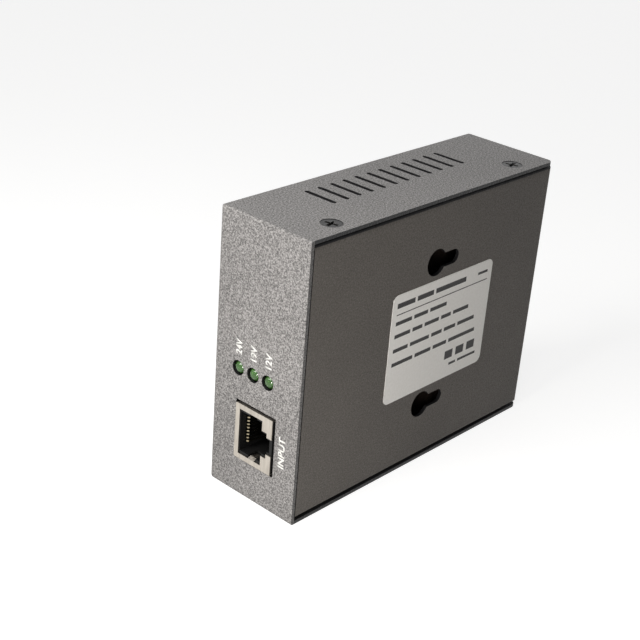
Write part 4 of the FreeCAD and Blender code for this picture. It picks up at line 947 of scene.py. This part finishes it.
class SPLITTER_OT_print(Operator):
    """Print the marks on both ends of the case"""

    bl_idname = "splitter.print"
    bl_label = "Print marks"

    def execute(self, context):
        sizes = context.scene.splitter_print
        # Screen-printed ink: thin white film that sinks a little into the grains and looks chalky
        ink = finish("screen_print_ink", "#d8d8d4", "#ecece9", 0.35, 0.02, (0.5, 0.7), IOR=1.5)
        front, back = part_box("cover")[0][1] - HAIR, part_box("base")[1][1] + HAIR
        sheet = bmesh.new()
        for lamp, words in LAMP_MARKS:
            low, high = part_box(lamp)
            level = (low[2] + high[2]) / 2 + LAMP_MARK_RISE * MM
            place = Vector(((low[0] + high[0]) / 2, front, level))
            ink_text(sheet, words, LAMP_MARK_SPAN * MM, sizes, place, UP)
        print_piece("marks_lamps", sheet, ink)
        for piece, words, neighbour, gap, span in END_MARKS:
            low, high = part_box(neighbour)
            # Words read upwards on the power input end, at the low side, and downwards on the data end
            face, along = (front, UP) if low[1] < 0 else (back, -UP)
            sheet = bmesh.new()
            place = Vector((high[0] + gap * MM, face, (low[2] + high[2]) / 2))
            ink_text(sheet, words, span * MM, sizes, place, along)
            print_piece(piece, sheet, ink)
        self.switch_marks(sizes, ink, back)
        return {"FINISHED"}

    def switch_marks(self, sizes, ink, back):
        """A number for each place of the knob, with a line that leads from it to the knob's slot."""
        low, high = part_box("switch_frame")
        middle = (low[2] + high[2]) / 2
        # The edge of the slot in the base, which shows about half of the frame behind it
        edge = high[0] - (high[0] - low[0]) * 0.28
        sheet = bmesh.new()
        for words, knob, level in SWITCH_MARKS:
            start = Vector((edge, back, middle + knob * MM))
            bend = start + ACROSS * LINE_RUN * MM
            corner = bend + ACROSS * LINE_STEP * MM
            corner.z = middle + (knob + level) / 2 * MM
            corners = (start, bend, corner) if level else (start, corner)
            ink_line(sheet, corners, sizes.line_width, sizes.film, ALONG)
            place = Vector((edge + SWITCH_MARK_GAP * MM, back, middle + level * MM))
            ink_text(sheet, words, SWITCH_MARK_SPAN * MM, sizes, place, -UP)
        print_piece("marks_switch", sheet, ink)


class SPLITTER_OT_label(Operator):
    """Finish the rating label, and print bars where a maker's words would be"""

    bl_idname = "splitter.label"
    bl_label = "Print label"

    def execute(self, context):
        sizes = context.scene.splitter_label
        # Matt polyester film: white, faintly toothed so that it takes ink
        film = finish("label_film", "#e9e7e3", "#f1efec", 0.8, 0.006, (0.42, 0.58), IOR=1.5)
        dress(film, "rating_label")
        # Thermal-transfer print: flat black with a slight gloss
        ink = finish("transfer_print", "#151414", "#222121", 0.4, 0.004, (0.4, 0.55), IOR=1.5,
                     Specular_IOR_Level=0.3)
        low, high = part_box("rating_label")
        left, top = low[1], high[2]
        # Nearly flush, so that the print adds nothing to the height of the case
        face = high[0] - sizes.film * 0.4
        chance = random.Random(sizes.seed)
        places, lengths, heights = [], [], []

        def bar(start, end, down, height):
            places.append((face, left + (start + end) / 2 * MM, top - down * MM))
            lengths.append((end - start) * MM)
            heights.append(height * MM)

        def words(start, end, down, height, shortest, longest):
            gap = sizes.word_gap / MM
            while start < end - shortest:
                stop = min(end, start + chance.uniform(shortest, longest))
                if end - stop < shortest + gap:
                    stop = end
                bar(start, stop, down, height)
                start = stop + gap

        margin = sizes.margin / MM
        for start, *row in LABEL_ROWS:
            words(margin if start is LABEL_MARGIN else start, *row)
        bar(margin, RULE_END, RULE_DOWN, RULE_HEIGHT)
        for start in SQUARE_STARTS:
            bar(start, start + SQUARE_WIDTH, SQUARES_DOWN, SQUARE_HEIGHT)
        mesh = points_mesh(places)
        for name, values in (("bar_length", lengths), ("bar_height", heights)):
            mesh.attributes.new(name, "FLOAT", "POINT").data.foreach_set("value", values)
        tree, names = bars_tree()
        mesh = grown(mesh, tree, names, {"Thickness": sizes.film, "Material": ink})
        add_piece("label_bars", mesh, ink)
        return {"FINISHED"}


class SPLITTER_OT_stage(Operator):
    """Set up a pale floor, two soft lights and even fill"""

    bl_idname = "splitter.stage"
    bl_label = "Set up studio"

    def execute(self, context):
        studio = context.scene.splitter_studio
        floor_mesh = bpy.data.meshes.new("floor")
        reach, level = 3.0, cad_box[0][2] - 0.05 * MM
        floor_mesh.from_pydata(
            [(-reach, -reach, level), (reach, -reach, level), (reach, reach, level), (-reach, reach, level)],
            [],
            [(0, 1, 2, 3)],
        )
        floor_mesh.materials.append(self.floor_material(studio))
        put_in_scene("floor", floor_mesh)
        self.light_world(context, studio)
        # The key is a little warm, so the end of the case looks warmer than its top
        self.light("key", studio.key_power, 0.15, Vector((-0.03, -0.20, 0.22)), (1.0, 0.985, 0.965))
        self.light("side", studio.side_power, 0.06, Vector((0.12, -0.20, 0.05)), (1.0, 0.97, 0.93))
        context.scene.view_settings.view_transform = "Standard"
        return {"FINISHED"}

    def light(self, name, power, size, place, colour):
        """A soft square light that shines on the middle of the case."""
        data = bpy.data.lights.new(name, "AREA")
        data.energy = power
        data.size = size
        data.color = colour
        lamp = put_in_scene(name, data)
        lamp.location = place
        lamp.rotation_euler = (place - CASE_MIDDLE).to_track_quat("Z", "Y").to_euler()

    def seen(self, tree):
        """1 for rays from the camera, from gloss and through glass, and otherwise 0."""
        path = add(tree, "ShaderNodeLightPath").outputs
        sharp = maths(tree, "MAXIMUM", path["Is Camera Ray"], path["Is Glossy Ray"])
        return maths(tree, "MAXIMUM", sharp, path["Is Transmission Ray"])

    def floor_material(self, studio):
        """Seamless white paper: matt, with the faintest tooth."""
        material, tree, shader = blank("seamless_paper")
        place = add(tree, "ShaderNodeTexCoord").outputs["Object"]
        tooth = add(tree, "ShaderNodeTexNoise", {"Vector": place, "Scale": 1 / (1.5 * MM)})
        bump = add(tree, "ShaderNodeBump", {"Height": tooth.outputs["Fac"], "Distance": 0.02 * MM})
        plug(tree, shader, {
            "Normal": bump.outputs["Normal"],
            "Emission Strength": maths(tree, "MULTIPLY", self.seen(tree), studio.floor_glow),
            "Emission Color": (1, 1, 1, 1),
            "Base Color": rgba(studio.floor_colour),
            "Roughness": 0.9,
            "Specular IOR Level": 0.1,
        })
        return material

    def light_world(self, context, studio):
        """Even light from all round, which looks white wherever it is seen."""
        world = bpy.data.worlds.new("studio")
        context.scene.world = world
        world.use_nodes = True
        tree = world.node_tree
        # The float sockets of a Mix node are 0, 2 and 3
        strength = add(tree, "ShaderNodeMix", {0: self.seen(tree), 2: studio.fill, 3: 1.0}, data_type="FLOAT")
        plug(tree, tree.nodes["Background"], {"Color": (1, 1, 1, 1), "Strength": strength.outputs[0]})


class SPLITTER_PT_panel(Panel):
    bl_label = "Power-over-Ethernet Splitter"
    bl_idname = "SPLITTER_PT_panel"
    bl_space_type = "VIEW_3D"
    bl_region_type = "UI"
    bl_category = "Splitter"

    def draw(self, context):
        for name, group in GROUPS.items():
            box = self.layout.box()
            settings = getattr(context.scene, name)
            for setting in group.__annotations__:
                box.prop(settings, setting)
        for step in STEPS:
            self.layout.operator(step.bl_idname)


GROUPS = {
    "splitter_coat": SplitterCoat,
    "splitter_screws": SplitterScrews,
    "splitter_print": SplitterPrint,
    "splitter_label": SplitterLabel,
    "splitter_lamps": SplitterLamps,
    "splitter_studio": SplitterStudio,
}
STEPS = (
    SPLITTER_OT_camera,
    SPLITTER_OT_case,
    SPLITTER_OT_screws,
    SPLITTER_OT_jacks,
    SPLITTER_OT_mouldings,
    SPLITTER_OT_lamps,
    SPLITTER_OT_inside,
    SPLITTER_OT_print,
    SPLITTER_OT_label,
    SPLITTER_OT_stage,
)


def register():
    for group in GROUPS.values():
        bpy.utils.register_class(group)
    for step in (*STEPS, SPLITTER_PT_panel):
        bpy.utils.register_class(step)
    for name, group in GROUPS.items():
        setattr(bpy.types.Scene, name, PointerProperty(type=group))


def unregister():
    for name in GROUPS:
        delattr(bpy.types.Scene, name)
    for step in (SPLITTER_PT_panel, *reversed(STEPS)):
        bpy.utils.unregister_class(step)
    for group in reversed(list(GROUPS.values())):
        bpy.utils.unregister_class(group)


def main():
    register()
    bpy.ops.splitter.camera()
    bpy.ops.splitter.case()
    bpy.ops.splitter.screws()
    bpy.ops.splitter.jacks()
    bpy.ops.splitter.mouldings()
    bpy.ops.splitter.lamps()
    bpy.ops.splitter.inside()
    bpy.ops.splitter.print()
    bpy.ops.splitter.label()
    bpy.ops.splitter.stage()


if __name__ == "__main__":
    main()
